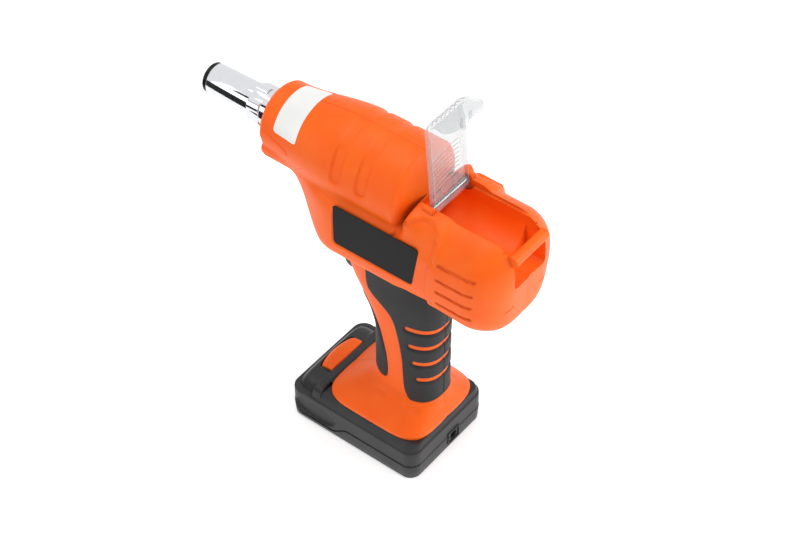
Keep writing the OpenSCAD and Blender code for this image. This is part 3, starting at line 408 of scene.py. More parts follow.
def round_radius(x):
    """Radius of the round form: barrel in the middle, snout in front, and behind it runs out to a nub."""
    front = SNOUT_R + (BARREL_R - SNOUT_R) * ramp(x, 75, 15)
    behind = NUB_R + (BARREL_R - NUB_R) * ramp(x, -43, -27)
    return np.where(x > -20, front, behind) - lip(x)


def section_width(x, z, zt, zb, mid):
    """Half width at height z: the rounded maximum (a + b + sqrt((a - b)^2 + k^2)) / 2 of the circle's
    half width sqrt(r^2 - dz^2) and of a superellipse's half width w (1 - |dz / h|^n)^(1 / n)."""
    r = round_radius(x)
    dz = np.abs(z - AXIS_Z)
    disc = np.where(dz < r, np.sqrt(np.maximum(r * r - dz * dz, 0)), -2 * (dz - r))
    # The box narrows towards the snout and is wider behind the crease, which leans
    crease = -57 - 3.5 * ramp(z, 185, 212)
    w = BODY_W - 14 * ramp(x, 15, 58) + (BOX_W - BODY_W) * ramp(x, crease + 0.9, crease - 1.1)
    # Round upright corners at the rear
    d = np.maximum(0, -x - REAR + CORNER_R)
    w = w - CORNER_R + np.sqrt(np.maximum(0, CORNER_R ** 2 - d * d))
    # Squareness: 2 is an ellipse, 5 is nearly a rectangle
    front = 3.2 + 1.8 * ramp(x, 60, 20)
    top_n = np.where(x < 0, 2.1 + 1.4 * ramp(x, -65, -57) + 1.5 * ramp(x, -50, -40), front)
    low_n = np.where(x < 0, 4.2 + 0.8 * ramp(x, -66, -40), front)
    n = np.where(z > mid, top_n, low_n)
    h = (zt - zb) / 2
    dq = np.abs(z - mid)
    box = np.where(dq < h, w * (1 - np.minimum(dq / h, 1) ** n) ** (1 / n), -2 * (dq - h))
    return (disc + box + np.sqrt((disc - box) ** 2 + BLEND_MM ** 2)) / 2


def body_surface(x, t):
    """Points of the half body for stations x and steps t from 0 at the top centre to 1 at the bottom."""
    x, t = np.broadcast_arrays(np.asarray(x, float), np.asarray(t, float))
    edge = np.maximum(0, -x - REAR + EDGE_R)
    edge = EDGE_R - np.sqrt(np.maximum(0, EDGE_R ** 2 - edge * edge))
    fall = np.clip((FALL_START - x) / FALL_RUN, 0, 1)
    zt = AXIS_Z - 9 + 16.5 * ramp(x, -30, -40) - edge - FALL_DROP * (1 - np.sqrt(1 - fall * fall))
    belly = BELLY_Z - 2.5 * ramp(x, -50, -100)
    zb = belly + (AXIS_Z - SNOUT_R + 1 - BELLY_Z) * ramp(x, 24, 56) + edge + lip(x)
    r = round_radius(x)
    top, bottom = np.maximum(AXIS_Z + r, zt), np.minimum(AXIS_Z - r, zb)
    z = (top + bottom) / 2 + (top - bottom) / 2 * np.cos(np.pi * t)
    y = section_width(x, z, zt, zb, (zt + zb) / 2)
    lean = np.maximum(0, 205 - z) * 0.1 * ramp(x, -75, -REAR)
    return np.stack([x + lean, np.maximum(y, 0.02), z], -1)


print("barrel half way round, in mm:", np.round(body_surface(0.0, 0.5), 1))

# %% [markdown]
# The details of the moulding are easiest to describe in the side view, by how far a point is from a line
# or an outline. They could be cut with solids, which leaves hard edges. A distance that goes through the
# smooth step gives the soft edges that a mould has.

# %% Distances in the side view
def segment_distance(p, q, a, b):
    """Distance from points (p, q) to the segment from a to b, in the plane."""
    a, b = np.asarray(a, float), np.asarray(b, float)
    d = b - a
    s = np.clip(((p - a[0]) * d[0] + (q - a[1]) * d[1]) / (d @ d), 0, 1)
    return np.hypot(p - a[0] - s * d[0], q - a[1] - s * d[1])


def outline_distance(x, z, outline):
    """Signed distance to a closed outline in the side view, positive inside."""
    pts = np.asarray(outline, float)
    ends = np.roll(pts, -1, axis=0)
    d = np.min([segment_distance(x, z, a, b) for a, b in zip(pts, ends)], axis=0)
    crossings = sum(((a[1] > z) != (b[1] > z))
                    & (x < (b[0] - a[0]) * (z - a[1]) / (b[1] - a[1] + 1e-9) + a[0])
                    for a, b in zip(pts, ends))
    return np.where(crossings % 2 == 1, d, -d)


print("3 mm beside a line:", float(segment_distance(0.0, 3.0, (-1, 0), (1, 0))))

# %% [markdown]
# On the real housing the barrel has two shallow channels, the rear box four grooves that the cooling air
# leaves by, and a valley where barrel and box meet. The snout has a long low pad, and a fine slit runs
# across the rear face. All are small against the form, so they are heights over it rather than solids. A
# height map in the material would look the same from afar but would leave the outline flat.

# %% Relief of the moulding
VALLEY = [(-66, 196), (-60.0, 205), (-60.8, 212), (-59.3, 216.5), (-55, 219.5), (-47, 220.5),
          (-41, 219), (-36, 213), (-31, 206), (-26, 197), (-40, 193)]
CHANNELS = (14.0, -4.5)
GROOVES, GROOVE_STEP, GROOVE_DEPTH = 4, 9.6, 1.1
VALLEY_DEPTH, PAD_HEIGHT, SLIT_DEPTH = 2.2, 0.5, 0.9


def moulded_relief(p):
    """Height in mm of the moulding's small relief over the plain surface, by position (x, y, z)."""
    x, y, z = p[..., 0], p[..., 1], p[..., 2]
    # Two channels across the barrel with a round lower end, fading at the top
    h = np.zeros_like(x)
    for centre in CHANNELS:
        d = np.hypot(x - centre, np.maximum(0, AXIS_Z + 4 - z))
        depth = 0.3 + 1.1 * ramp(z, AXIS_Z + 28, AXIS_Z + 14)
        h -= depth * (1 - ramp(d, 3.1, 4.2)) * (z > 205) * ramp(y, 2.5, 7)
    # Valley between the barrel and the rear box, crisp at the box and fading downwards
    h -= VALLEY_DEPTH * ramp(outline_distance(x, z, VALLEY), -0.3, 1.5) * ramp(z, 196, 206)
    # Long pad on the side of the snout
    d = segment_distance(x, z, (73.5, 215.6), (58, 211.8))
    h += PAD_HEIGHT * (1 - ramp(d, 3.2, 3.7)) * (y > 8)
    # Cooling grooves in the side of the rear box
    for k in range(GROOVES):
        z0 = AXIS_Z - 14.5 - GROOVE_STEP * k
        d = segment_distance(x, z, (-89.0 + 0.4 * k, z0), (-65.5, z0))
        h -= GROOVE_DEPTH * (1 - ramp(d, 0.75, 1.35)) * (y > 20)
    # Slit across the rear face
    across = np.abs(z - 177.5 + 0.18 * (y + 3))
    h -= SLIT_DEPTH * (1 - ramp(across, 0.15, 0.7)) * (x < -99) * ramp(y, 21, 18)
    return h


print("valley corners:", len(VALLEY), "and grooves:", GROOVES)

# %% [markdown]
# The label sits in a flat that is pressed into the side. The right half has the same flat without a label,
# and a low pad that such tools lie on. Both halves meet in a fine line on the middle plane. A bevel along
# the joint would give that line too, but sinking the two end points of each section does it in the grid.

# %% Grids of both body halves
LABEL_X, LABEL_Z = -18.5, AXIS_Z - 27.5
LABEL = [(LABEL_X - 28.5, LABEL_Z + 12.5), (LABEL_X + 28.5, LABEL_Z + 12.5),
         (LABEL_X + 28.5, LABEL_Z - 12.5), (LABEL_X - 24.5, LABEL_Z - 12.5)]
LABEL_Y = 33


def flat_places(p, side):
    """Presses the label's flat into the side, 1 mm deep, and on the right half raises the rest pad."""
    x, y, z = p[..., 0], p[..., 1], p[..., 2]
    label = outline_distance(x, z, LABEL) + 3
    y = np.where(y > 25, y - np.maximum(y - LABEL_Y, 0) * ramp(label, -0.35, 0.35), y)
    if side < 0:
        dx, dz = np.maximum(np.abs(x + 49) - 7, 0), np.maximum(np.abs(z - AXIS_Z + 25) - 13, 0)
        pad = 5 - np.hypot(dx, dz)
        y = np.where((y > 25) & (pad > 0), np.maximum(y, 32 + 5.5 * ramp(pad, 0, 1.2)), y)
    return np.stack([x, y, z], -1)


def with_relief(p, relief):
    """Moves each grid point by the relief along the surface normal, which is the cross product of the
    grid's two rates of change."""
    n = np.cross(np.gradient(p, axis=0), np.gradient(p, axis=1))
    n /= np.linalg.norm(n, axis=-1, keepdims=True) + 1e-9
    n *= np.sign((n[..., 1:2] * p[..., 1:2]).mean())
    return p + n * relief(p)[..., None]


def parting_ends(p, down, groove=0.35, gap=0.03):
    """Adds the two end points of each open section, on the middle plane and sunk by groove, so that the
    halves meet in a fine line."""
    first, last = p[:, :1].copy(), p[:, -1:].copy()
    first[..., 1], last[..., 1] = gap, gap
    first = first - groove * np.asarray(down)
    last = last + groove * np.asarray(down)
    return np.concatenate([first, p, last], 1)


rear_curve = -REAR + EDGE_R * (1 - np.cos(np.linspace(0, np.pi / 2, 14)))[:-1]
rim_curve = SNOUT - 3 + 3 * np.sin(np.linspace(0, np.pi / 2, 10))
stations = np.concatenate([rear_curve, np.arange(-REAR + EDGE_R, SNOUT - 3, 0.6), rim_curve])
around = np.linspace(0.008, 0.992, 230)
plain_body = with_relief(body_surface(stations[:, None], around[None, :]), moulded_relief)
body_rings = {side: parting_ends(flat_places(plain_body, side), (0, 0, 1)) for side in (1, -1)}
print("body grid:", plain_body.shape)

# %% [markdown]
# ## The handle's surface
#
# The handle is held between the body and the battery, and its foot spreads to cover the battery's top. A
# box with rounded edges would be too stiff for it. So the sections lie across Z and each is a
# superellipse, whose size and squareness change with height: round in the hand, nearly a rectangle at the
# foot.

# %% Handle sections
GRIP_X, GRIP_A, GRIP_B = -21.5, 23.0, 17.0
FOOT_FRONT, FOOT_BACK, FOOT_B, FOOT_H, SEAT_Z = 25.8, -49.5, 34.0, 22.0, 30.0


def grip_section(z):
    """Centre, half length, half width and squareness of the handle at height z."""
    flare = np.clip((SEAT_Z + FOOT_H - z) / (FOOT_H - 3), 0, 1) ** 1.3
    mid = GRIP_X + 13 * ramp(z, 92, 150) + ((FOOT_FRONT + FOOT_BACK) / 2 - GRIP_X) * flare
    a = GRIP_A + 12 * ramp(z, 92, 140) + ((FOOT_FRONT - FOOT_BACK) / 2 - GRIP_A) * flare
    b = GRIP_B + (FOOT_B - GRIP_B) * flare
    return mid, a, b, 2.5 + 2.5 * ramp(z, 50, 32)


def grip_surface(z, t, out=0.0):
    """Half section at height z, t from 0 at the front centre to 1 at the rear: x and y are the half sizes
    times cosine and sine raised to 2 / n."""
    z, t = np.broadcast_arrays(np.asarray(z, float), np.asarray(t, float))
    mid, a, b, n = grip_section(z)
    c, s = np.cos(np.pi * t), np.sin(np.pi * t)
    x = mid + (a + out) * np.sign(c) * np.abs(c) ** (2 / n)
    y = (b + out) * np.abs(s) ** (2 / n)
    return np.stack([x, np.maximum(y, 0.02), z], -1)


print("handle at z 100, centre and half sizes:", np.round(grip_section(100.0), 1))

# %% [markdown]
# Low on the foot's side are two short sunken wedges, as in the photograph. They are heights again. The
# grid is close at the foot, where the form turns quickly, and wider above, where it is nearly straight.

# %% Grid of the handle
def foot_relief(p):
    """Two short sunken wedges low on the foot's side."""
    x, y, z = p[..., 0], p[..., 1], p[..., 2]
    h = np.zeros_like(x)
    for x0, x1, z0 in ((-4.0, -15.0, 46.0), (-25.0, -39.0, 44.3)):
        along = np.clip((x - x0) / (x1 - x0), 0, 1)
        d = segment_distance(x, z, (x0, z0), (x1, z0))
        h -= 0.95 * (1 - ramp(d, 0.9, 1.5)) * ramp(along, 0, 0.7) * (y > 10)
    return h


heights = np.concatenate([np.arange(SEAT_Z + 0.3, 64, 0.6), np.arange(64, BELLY_Z + 6, 1.5)])
turn_steps = np.concatenate([[0.004], np.linspace(0.012, 0.988, 120), [0.996]])
grip_rings = with_relief(grip_surface(heights[:, None], turn_steps[None, :]), foot_relief)
grip_rings[..., 2] = heights[:, None]
grip_rings = parting_ends(grip_rings, (1, 0, 0))
print("handle grid:", grip_rings.shape)

# %% [markdown]
# ## Housing halves
#
# The real housing is two thin shells. From outside only their openings show that, so each half is a solid
# here, and every opening is a solid that is taken from it: the bay for spent mandrels with its ledge and
# the notch at the back, the trigger's slot and the slot for the battery's rail. A cutter is used up when
# it cuts, so one function makes a fresh set for each half.

# %% Cutting solids
PIN_X, PIN_Z, FLOOR_Z, NOTCH_Z, BAY_W = -46.5, 220.5, 198.0, 190.0, 16.5
INNER_W = BAY_W - 1.6
TROUGH_Z = FLOOR_Z + INNER_W
LEDGE_Z = PIN_Z - 2.6
BAY_BACK, BAY_FRONT, OPEN_TOP = -REAR - 3, -38, 270


def cutters():
    """Fresh cutting solids for one half."""
    floor_ends = (BAY_BACK, 0, TROUGH_Z), (BAY_FRONT, 0, TROUGH_Z)
    return [
        grid_piece("cut_trough", rod_rings(*floor_ends, INNER_W, 96)),
        grid_piece("cut_drop", block_rings(BAY_BACK, -90, INNER_W, NOTCH_Z, TROUGH_Z, 3)),
        grid_piece("cut_bay", block_rings(-102, BAY_FRONT, INNER_W, TROUGH_Z, OPEN_TOP)),
        grid_piece("cut_ledge", block_rings(BAY_BACK, BAY_FRONT, BAY_W, LEDGE_Z, OPEN_TOP, 0.4)),
        grid_piece("cut_bend", block_rings(BAY_BACK, -96, BAY_W, PIN_Z - 6.2, OPEN_TOP, 0.4)),
        grid_piece("cut_notch", block_rings(BAY_BACK, -99, INNER_W, FLOOR_Z, OPEN_TOP, 0.4)),
        grid_piece("cut_tail", rod_rings((PIN_X, -BAY_W, PIN_Z), (PIN_X, BAY_W, PIN_Z), 6.7)),
        grid_piece("cut_front", turned([(60, 15.3), (SNOUT + 3, 15.3)], AXIS_Z)),
        grid_piece("cut_trigger", block_rings(8.1, 60, 8.8, 125.9, 158, 0.5)),
        grid_piece("cut_rail_neck", block_rings(-38, 70, 20.5, 26, 31.3)),
        grid_piece("cut_rail", block_rings(-38, 70, 24.5, 31.2, 32.7)),
    ]


print("bay in mm, width and floor height:", 2 * INNER_W, FLOOR_Z)

# %% [markdown]
# A half is its body and its handle joined, with the lug that holds the cover's pin, less the cutters.
# Drawing one half and mirroring the object would be shorter, but the right half differs: it has the rest
# pad and the wells of the case screws. So the grids are mirrored and both halves are made by one
# function.

# %% Join and cut the halves
SCREWS = [(49, 234.5), (64, 196), (40, 188), (-24, 234.5), (-76, 169), (-94, 169), (1, 120),
          (-20, 64), (3, 46)]
WELL_R = 3.2


def same(rings):
    """The grid as it is, for the left side."""
    return rings


def mirrored(rings):
    """The same grid on the other side of the middle plane."""
    return rings * np.array([1.0, -1.0, 1.0])


def make_half(name, side):
    """One moulded half, side 1 on the left and -1 on the right."""
    place = mirrored if side < 0 else same
    half = grid_piece(name, place(body_rings[side]))
    lug = moved_y(block_rings(PIN_X - 3.6, PIN_X + 3.6, 2.2, PIN_Z - 8, PIN_Z + 3.4, 2.1), BAY_W + 2.3)
    combine(half, [grid_piece("handle", place(grip_rings)), grid_piece("lug", place(lug))], "UNION")
    tools = cutters()
    if side < 0:
        tools += [grid_piece("well", rod_rings((x, -8, z), (x, -60, z), WELL_R, 20)) for x, z in SCREWS]
    combine(half, tools, "DIFFERENCE")
    finish_mesh(half, "root", orange, 34)
    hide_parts(name[5:])
    return half


half_left = make_half("look_housing_left", 1)
half_right = make_half("look_housing_right", -1)
print("housing faces:", len(half_left.data.polygons), len(half_right.data.polygons))

# %% [markdown]
# ## Rubber overmould
#
# Soft rubber is moulded onto the handle where the palm and the fingers press, in a rear and a front
# field. Their outlines are curves in the side view. Each is written as a few corners and rounded by
# cutting the corners off twice, which is quicker to adjust than a curve's handles.

# %% Outlines of the rubber
REAR_EDGE = [(8.0, 158), (2.5, 150), (2.3, 131), (-2, 125.5), (-11, 120), (-18.4, 113.6), (-22.4, 100),
             (-25.5, 84), (-26.6, 66), (-27.2, 56), (-29.5, 50.5), (-34, 48.5), (-70, 48.5),
             (-70, 170), (8, 170)]
FRONT_EDGE = [(20, 121), (7, 117), (1, 106), (-6, 98), (-10.5, 88), (-13.6, 77), (-14.7, 65), (-13.8, 58.5),
              (-11.2, 56), (-7, 56.6), (8, 61), (40, 66), (40, 121)]


def rounded(outline, times):
    """Corner cutting: each corner is replaced by points a quarter and three quarters along its sides."""
    p = np.asarray(outline, float)
    for _ in range(times):
        q = np.roll(p, -1, axis=0)
        p = np.stack([0.75 * p + 0.25 * q, 0.25 * p + 0.75 * q], 1).reshape(-1, 2)
    return p


rear_outline, front_outline = rounded(REAR_EDGE, 2), rounded(FRONT_EDGE, 2)
print("outline points:", len(rear_outline), len(front_outline))

# %% [markdown]
# The rubber is a skin over the handle whose height comes from a distance: inside its outline it stands
# 1.2 mm proud, outside it dips below the orange plastic, and the slots are distances to short lines.
# Cutting a shell along the outline would leave sharp edges. This way they are rounded all the way round,
# as an overmoulded edge is.

# %% Skins on both sides
SLOTS, SLOT_STEP, SLOT_HALF = 4, 14.2, 1.5


def rubber_rings(outline, z0, z1, slots):
    """Handle skin that stands proud inside the outline and dips below the plastic outside it."""
    z = np.arange(z0, z1, 0.6)
    t = np.concatenate([[0.004], np.linspace(0.010, 0.990, 190), [0.996]])
    base = grip_surface(z[:, None], t[None, :])
    x = base[..., 0]
    d = outline_distance(x, base[..., 2], outline)
    for k in range(slots):
        zc, xc = 111 - SLOT_STEP * k, -29 - 2.6 * k
        d = np.minimum(d, segment_distance(x, base[..., 2], (xc, zc), (-60, zc - 1)) - SLOT_HALF)
    out = -1.0 + 2.2 * np.sqrt(np.clip((d + 0.5) / 2.0, 0, 1))
    skin = grip_surface(z[:, None], t[None, :], out)
    inner = grip_surface(z[:, None], t[None, :], -1.6)
    skin, inner = parting_ends(skin, (1, 0, 0), 0.4), parting_ends(inner, (1, 0, 0), 0)
    return np.concatenate([skin, inner[:, ::-1]], 1)


rear_grip = rubber_rings(rear_outline, 45, 158.5, SLOTS)
front_grip = rubber_rings(front_outline, 53, 124, 0)
for side, place in (("left", same), ("right", mirrored)):
    for part, rings in (("rear", rear_grip), ("front", front_grip)):
        skin = grid_piece(f"look_grip_{part}_{side}", place(rings), "root", rubber)
        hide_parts(f"grip_{side}")
print("rubber grids:", rear_grip.shape, front_grip.shape)

# %% [markdown]
# ## Clear cover
#
# The cover closes the bay. It is a clear strip that runs back from its pin and bends over the rear face
# into a finger grip. It is drawn shut, where it lies along X, because that is where its measures are
# plain. Turning the finished points is easier than drawing a slanted strip.

# %% Path of the cover
COVER_RUN, BEND_R, BEND_TURN = 53.0, 8.5, np.radians(78)


def cover_path(s):
    """Point and outward direction along the cover's middle line, s mm from the pin: straight for 53 mm,
    then a bend of 8.5 mm radius through 78 degrees, then a straight end."""
    a = np.clip((s - COVER_RUN) / BEND_R, 0, BEND_TURN)
    tail = np.maximum(0, s - COVER_RUN - BEND_R * BEND_TURN)
    x = -np.minimum(s, COVER_RUN) - BEND_R * np.sin(a) - tail * np.cos(a)
    z = -BEND_R * (1 - np.cos(a)) - tail * np.sin(a)
    return x, z, -np.sin(a), np.cos(a)


print("cover 60 mm from its pin:", [round(float(v), 2) for v in cover_path(60.0)])

# %% [markdown]
# Eight bowed ridges near the hinge and seven ribs along the bend give the fingers a hold, and thick rims
# stiffen the sides. Extruding each rib would leave loose pieces in a clear material, where every inner
# wall shows. As heights over the strip's outer face they are one skin with it.

# %% Sections of the cover
RIDGES, RIDGE_STEP, RIDGE_RISE = 8, 3.1, 1.3
RIBS, RIB_STEP, RIB_RISE = 7, 4.1, 1.2


def cover_rings():
    """Cross sections of the cover: a strip with thick side rims, ridges and ribs on its outer face."""
    s = np.concatenate([np.linspace(-5, 34, 150), np.linspace(35, 50, 16), np.linspace(50.4, 65, 50),
                        np.linspace(65.4, 77.5, 30)])
    v = np.sin(np.linspace(-1, 1, 101) * np.pi / 2)
    tip = np.clip((s - 68) / 9.5, 0, 1)
    half = 15.9 * np.sqrt(np.maximum(1 - 0.80 * tip ** 3, 0.05)) + 1.2 * ramp(s, 64, 71)
    s2, v2 = s[:, None], v[None, :]
    y = half[:, None] * v2
    x, z, nx, nz = (q[:, None] for q in cover_path(s))
    crown = -1.6 * ramp(s2, 58, 70) * v2 ** 2
    rise = np.zeros_like(y)
    # Ridges near the hinge: each bows upwards, steep at its left end
    for k in range(RIDGES):
        centre = 3.0 + RIDGE_STEP * k + 6.0 * np.sqrt(np.maximum(1 - ((v2 + 0.35) / 1.35) ** 2, 0))
        rise = rise + RIDGE_RISE * (1 - ramp(np.abs(s2 - centre), 0.30, 0.72)) * (np.abs(v2) < 0.84)
    # Finger ribs along the bend
    for k in range(RIBS):
        across = 1 - ramp(np.abs(y - (k - RIBS // 2) * RIB_STEP), 0.4, 0.85)
        rise = rise + RIB_RISE * across * ramp(s2, 50.5, 53) * ramp(s2, 66, 62)
    rim = ramp(np.abs(v2), 0.90, 0.95)
    up, down = 1.0 + crown + rise + 0.3 * rim, -1.0 + crown - 1.3 * rim * ramp(s2, 51, 46)
    outer = np.stack([x + nx * up, y, z + nz * up], -1)
    inner = np.stack([x + nx * down, y, z + nz * down], -1)
    return np.concatenate([outer, inner[:, ::-1]], 1)


print("cover grid:", cover_rings().shape)

# %% [markdown]
# At rest the cover stands open, turned up by 95 degrees about its pin. A barrel with a hole for the pin
# ends the strip. The object could be turned instead, but with the points turned the cover shares the
# frame of all the other pieces, so the hinge joint finds it at rest.

# %% The cover on its pin
OPEN_DEGREES = 95


def opened(rings):
    """Turns a shut cover's points up about the hinge pin."""
    a = np.radians(OPEN_DEGREES)
    x, y, z = rings[..., 0], rings[..., 1], rings[..., 2]
    return np.stack([PIN_X + x * np.cos(a) + z * np.sin(a), y, PIN_Z - x * np.sin(a) + z * np.cos(a)], -1)


cover = grid_piece("look_cover", opened(cover_rings()), angle=50)
barrel = grid_piece("barrel", opened(rod_rings((0, -15.9, 0), (0, 15.9, 0), 2.8, 40)))
combine(cover, [barrel], "UNION")
hole = grid_piece("pin_hole", opened(rod_rings((0, -20, 0), (0, 20, 0), 1.56, 24)))
combine(cover, [hole], "DIFFERENCE")
finish_mesh(cover, "cover", clear, 40)
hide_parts("collector_cover")
print("cover faces:", len(cover.data.polygons))

# %% [markdown]
# Under the cover's end stands a small loop that springs under the catch bar and holds the cover shut. It
# is a round wire form, so its rings follow a path: two straight ends and half an ellipse. A curve object
# with a bevel would do the same, but it would have to be made into a mesh.

# %% Latch loop
LOOP_X, LOOP_Z = -63.0, -15.5


def loop_rings(width, depth, r):
    """A U-shaped loop that stands inwards from the cover's free end."""
    a = np.linspace(0, np.pi, 13)
    arc = np.stack([depth * 0.6 + depth * 0.4 * np.sin(a), width * np.cos(a)], 1)
    path = np.concatenate([[[0.0, width]], arc, [[0.0, -width]]])
    d = np.gradient(path, axis=0)
    d /= np.linalg.norm(d, axis=1, keepdims=True)
    b = np.linspace(0, 2 * np.pi, 12, endpoint=False)
    side = np.stack([d[:, 1], -d[:, 0]], 1)
    x = LOOP_X + path[:, :1] + r * np.cos(b)[None, :] * side[:, :1]
    z = LOOP_Z + r * np.sin(b)[None, :] + np.zeros((len(path), 1))
    y = path[:, 1:] + r * np.cos(b)[None, :] * side[:, 1:]
    return np.stack([x, y, z], -1)


latch = grid_piece("look_cover_latch", opened(loop_rings(4.0, 8.0, 0.9)), "cover", clear, angle=50)
print("loop faces:", len(latch.data.polygons))

# %% [markdown]
# ## Chromed nose
#
# The sleeve that takes the pull against the workpiece is turned and chromed, with a collar for a spanner.
# The screw modifier would turn a drawn profile; here the profile is a list of stations and radii in mm.
# The collar's flats are a hexagon rounded off at its corners, by taking the smaller of the hexagon's and
# the circle's radius at each angle.

# %% Sleeve with its collar
NOSE = [(79, 8.65), (79, 11.8), (79.5, 12.3), (86.5, 12.3), (87, 12.0), (87.4, 11.6), (96.2, 11.6),
        (96.8, 10.9), (97.2, 10.5), (129.8, 10.5), (130.2, 10.3), (130.4, 9.9), (130.4, 5.2),
        (125, 5.2), (125, 8.65)]
TURN_STEPS, FLAT_R, FLAT_CORNER_R = 144, 12.0, 12.9
nose_rings = turned(NOSE, AXIS_Z, TURN_STEPS)
angles = np.linspace(0, 2 * np.pi, TURN_STEPS, endpoint=False)
hexagon = FLAT_R / np.cos((angles + np.pi / 6) % (np.pi / 3) - np.pi / 6)
flats = np.minimum(hexagon, FLAT_CORNER_R)
collar = [row for row, point in enumerate(NOSE) if 87 < point[0] < 96.5]
nose_rings[collar, :, 1] = flats * np.cos(angles)
nose_rings[collar, :, 2] = AXIS_Z + flats * np.sin(angles)
sleeve = grid_piece("look_nose_sleeve", nose_rings, "root", chrome, wrap=True, angle=28)
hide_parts("nose_sleeve")
print("collar rows:", len(collar))

# %% [markdown]
# The tip is the part that presses on the rivet's head. It is turned steel with a black oxide, bored for
# the mandrel, with a wide flange and a small round at its front edge. Its profile is closed, so the
# turned rows wrap round and leave the bore open.

# %% Black tip
TIP = [(124, 1.6), (124, 4.9), (130.5, 4.95), (130.5, 9.9), (133.0, 9.9), (133.8, 9.3), (134, 8.4),
       (134, 2.0), (133.6, 1.6)]
tip = grid_piece("look_nosepiece", turned(TIP, AXIS_Z), "root", black_steel, wrap=True, angle=28)
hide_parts("nosepiece")
print("nose profile points:", len(NOSE), len(TIP))

# %% [markdown]
# ## Battery
#
# The battery's case is two shells that meet at a seam, which dips on each side towards the front. A cube
# with a bevel gives such a case, but its seam would have to be cut. Here both shells follow one rounded
# outline, drawn in and out with height, and a row of points may follow the seam.

# %% Outline of the battery's case
def outline_ring(steps, half_x, half_y, r):
    """Rounded rectangle: points spread evenly along its edge, with their outward directions."""
    corners = [(half_x - r, half_y - r, 0), (r - half_x, half_y - r, 1), (r - half_x, r - half_y, 2),
               (half_x - r, r - half_y, 3)]
    a = np.linspace(0, np.pi / 2, 24)
    x = np.concatenate([cx + r * np.cos(a + k * np.pi / 2) for cx, _, k in corners])
    y = np.concatenate([cy + r * np.sin(a + k * np.pi / 2) for _, cy, k in corners])
    x, y = np.append(x, x[0]), np.append(y, y[0])
    run = np.concatenate([[0], np.cumsum(np.hypot(np.diff(x), np.diff(y)))])
    at = np.linspace(0, run[-1], steps, endpoint=False)
    px, py = np.interp(at, run, x), np.interp(at, run, y)
    tx, ty = np.roll(px, -1) - np.roll(px, 1), np.roll(py, -1) - np.roll(py, 1)
    length = np.hypot(tx, ty)
    return px, py, ty / length, -tx / length


PACK_X, PACK_Y, SHOULDER_Z = 51.0, 38.0, 24.0
ring_x, ring_y, ring_nx, ring_ny = outline_ring(720, PACK_X, PACK_Y, 9.0)
print("outline points:", len(ring_x))

# %% [markdown]
# Each row of a shell has a height and an inset. The lower shell starts with a rounded bottom edge and
# ends in the sunken half of the seam's groove. Its rows share out the height between the bottom and the
# dipping seam.

# %% Lower shell
SEAM_HIGH, SEAM_DIP = 12.0, 7.5


def seam_z(x, y):
    """Height of the seam: 12 mm, dipping to 4.5 mm under the finger panel on each side."""
    dip = ramp(x, 2, 16) * ramp(x, 50.5, 40)
    return SEAM_HIGH - SEAM_DIP * dip * (np.abs(y) > 20)


def shell_rings(levels, sides):
    """Rings of a shell. levels maps each row to a height and an inset; sides adds inset by position."""
    rows = []
    for z_of, inset in levels:
        z = z_of(ring_x, ring_y) if callable(z_of) else np.full_like(ring_x, z_of)
        pull = inset + sides(ring_x, ring_y, z)
        rows.append(np.stack([ring_x - ring_nx * pull, ring_y - ring_ny * pull, z], -1))
    return np.stack(rows)


def between(f, low):
    """Height a share f of the way from low up to the seam."""
    return lambda x, y: low + (seam_z(x, y) - low) * f


def plain_wall(x, y, z):
    """No inset beyond the row's own."""
    return 0.0 * x


lower_levels = [(0.0, 2.2), (0.3, 1.3), (1.2, 0.7)]
for share, inset in ((0.5, 0.3), (0.85, 0.1), (0.92, 0.05), (0.955, 0.5), (0.96, 1.6), (0.997, 1.8)):
    lower_levels.append((between(share, 1.2), inset))
lower = grid_piece("look_battery_lower", shell_rings(lower_levels, plain_wall), "battery",
                   battery_plastic, angle=30)
print("lower shell rows:", len(lower_levels))

# %% [markdown]
# The upper shell has a sunken oval panel on each side, where finger and thumb press to pull the battery
# off. It could be cut with a scaled ball. As an inset that depends on the place, it needs no cut and
# keeps a soft edge.

# %% Upper shell
PANEL_DEPTH, WALL_TOP = 1.8, 17


def above(f, high):
    """Height a share f of the way from the seam up to high."""
    return lambda x, y: seam_z(x, y) + (high - seam_z(x, y)) * f


def finger_panel(x, y, z):
    """Sunken oval panel on each long side near the front, 1.8 mm deep."""
    d = np.hypot((x - 29.5) / 17.5, (z - 12.5) / 7.6)
    return PANEL_DEPTH * (1 - ramp(d, 0.90, 1.02)) * (np.abs(y) > 25)


upper_levels = [(above(share, WALL_TOP), inset)
                for share, inset in ((0.0, 1.8), (0.02, 1.6), (0.03, 0.6), (0.07, 0.35))]
upper_levels += [(above(share, WALL_TOP), 0.3) for share in np.linspace(0.12, 1.0, 16)]
upper_levels += [(z, 0.3) for z in np.linspace(17.5, SHOULDER_Z - 1, 12)]
upper_levels += [(SHOULDER_Z - 0.5, 0.4), (SHOULDER_Z - 0.1, 0.7), (SHOULDER_Z, 1.2)]
upper = grid_piece("look_battery_upper", shell_rings(upper_levels, finger_panel), angle=30)
print("upper shell rows:", len(upper_levels))

# %% [markdown]
# On top of the case lies a shoulder that the tool's foot stands on. It slopes in from the upright wall,
# so it is a stack of rounded rectangles, each at its own height and with its own corners.

# %% Shoulder
def plan_rows(levels):
    """Rings at several heights. Each level is z, x0, x1, half width, rear and front corner radius."""
    rows = []
    for z, x0, x1, half, rear, front in levels:
        corners = [(x1, -half, front, -90), (x1, half, front, 0), (x0, half, rear, 90),
                   (x0, -half, rear, 180)]
        ring = []
        for cx, cy, r, start in corners:
            a = np.radians(start + np.linspace(0, 90, 14))
            mx, my = cx - r * np.sign(cx), cy - r * np.sign(cy)
            ring.append(np.stack([mx + r * np.cos(a), my + r * np.sin(a), np.full_like(a, z)], -1))
        rows.append(np.concatenate(ring))
    return np.stack(rows)


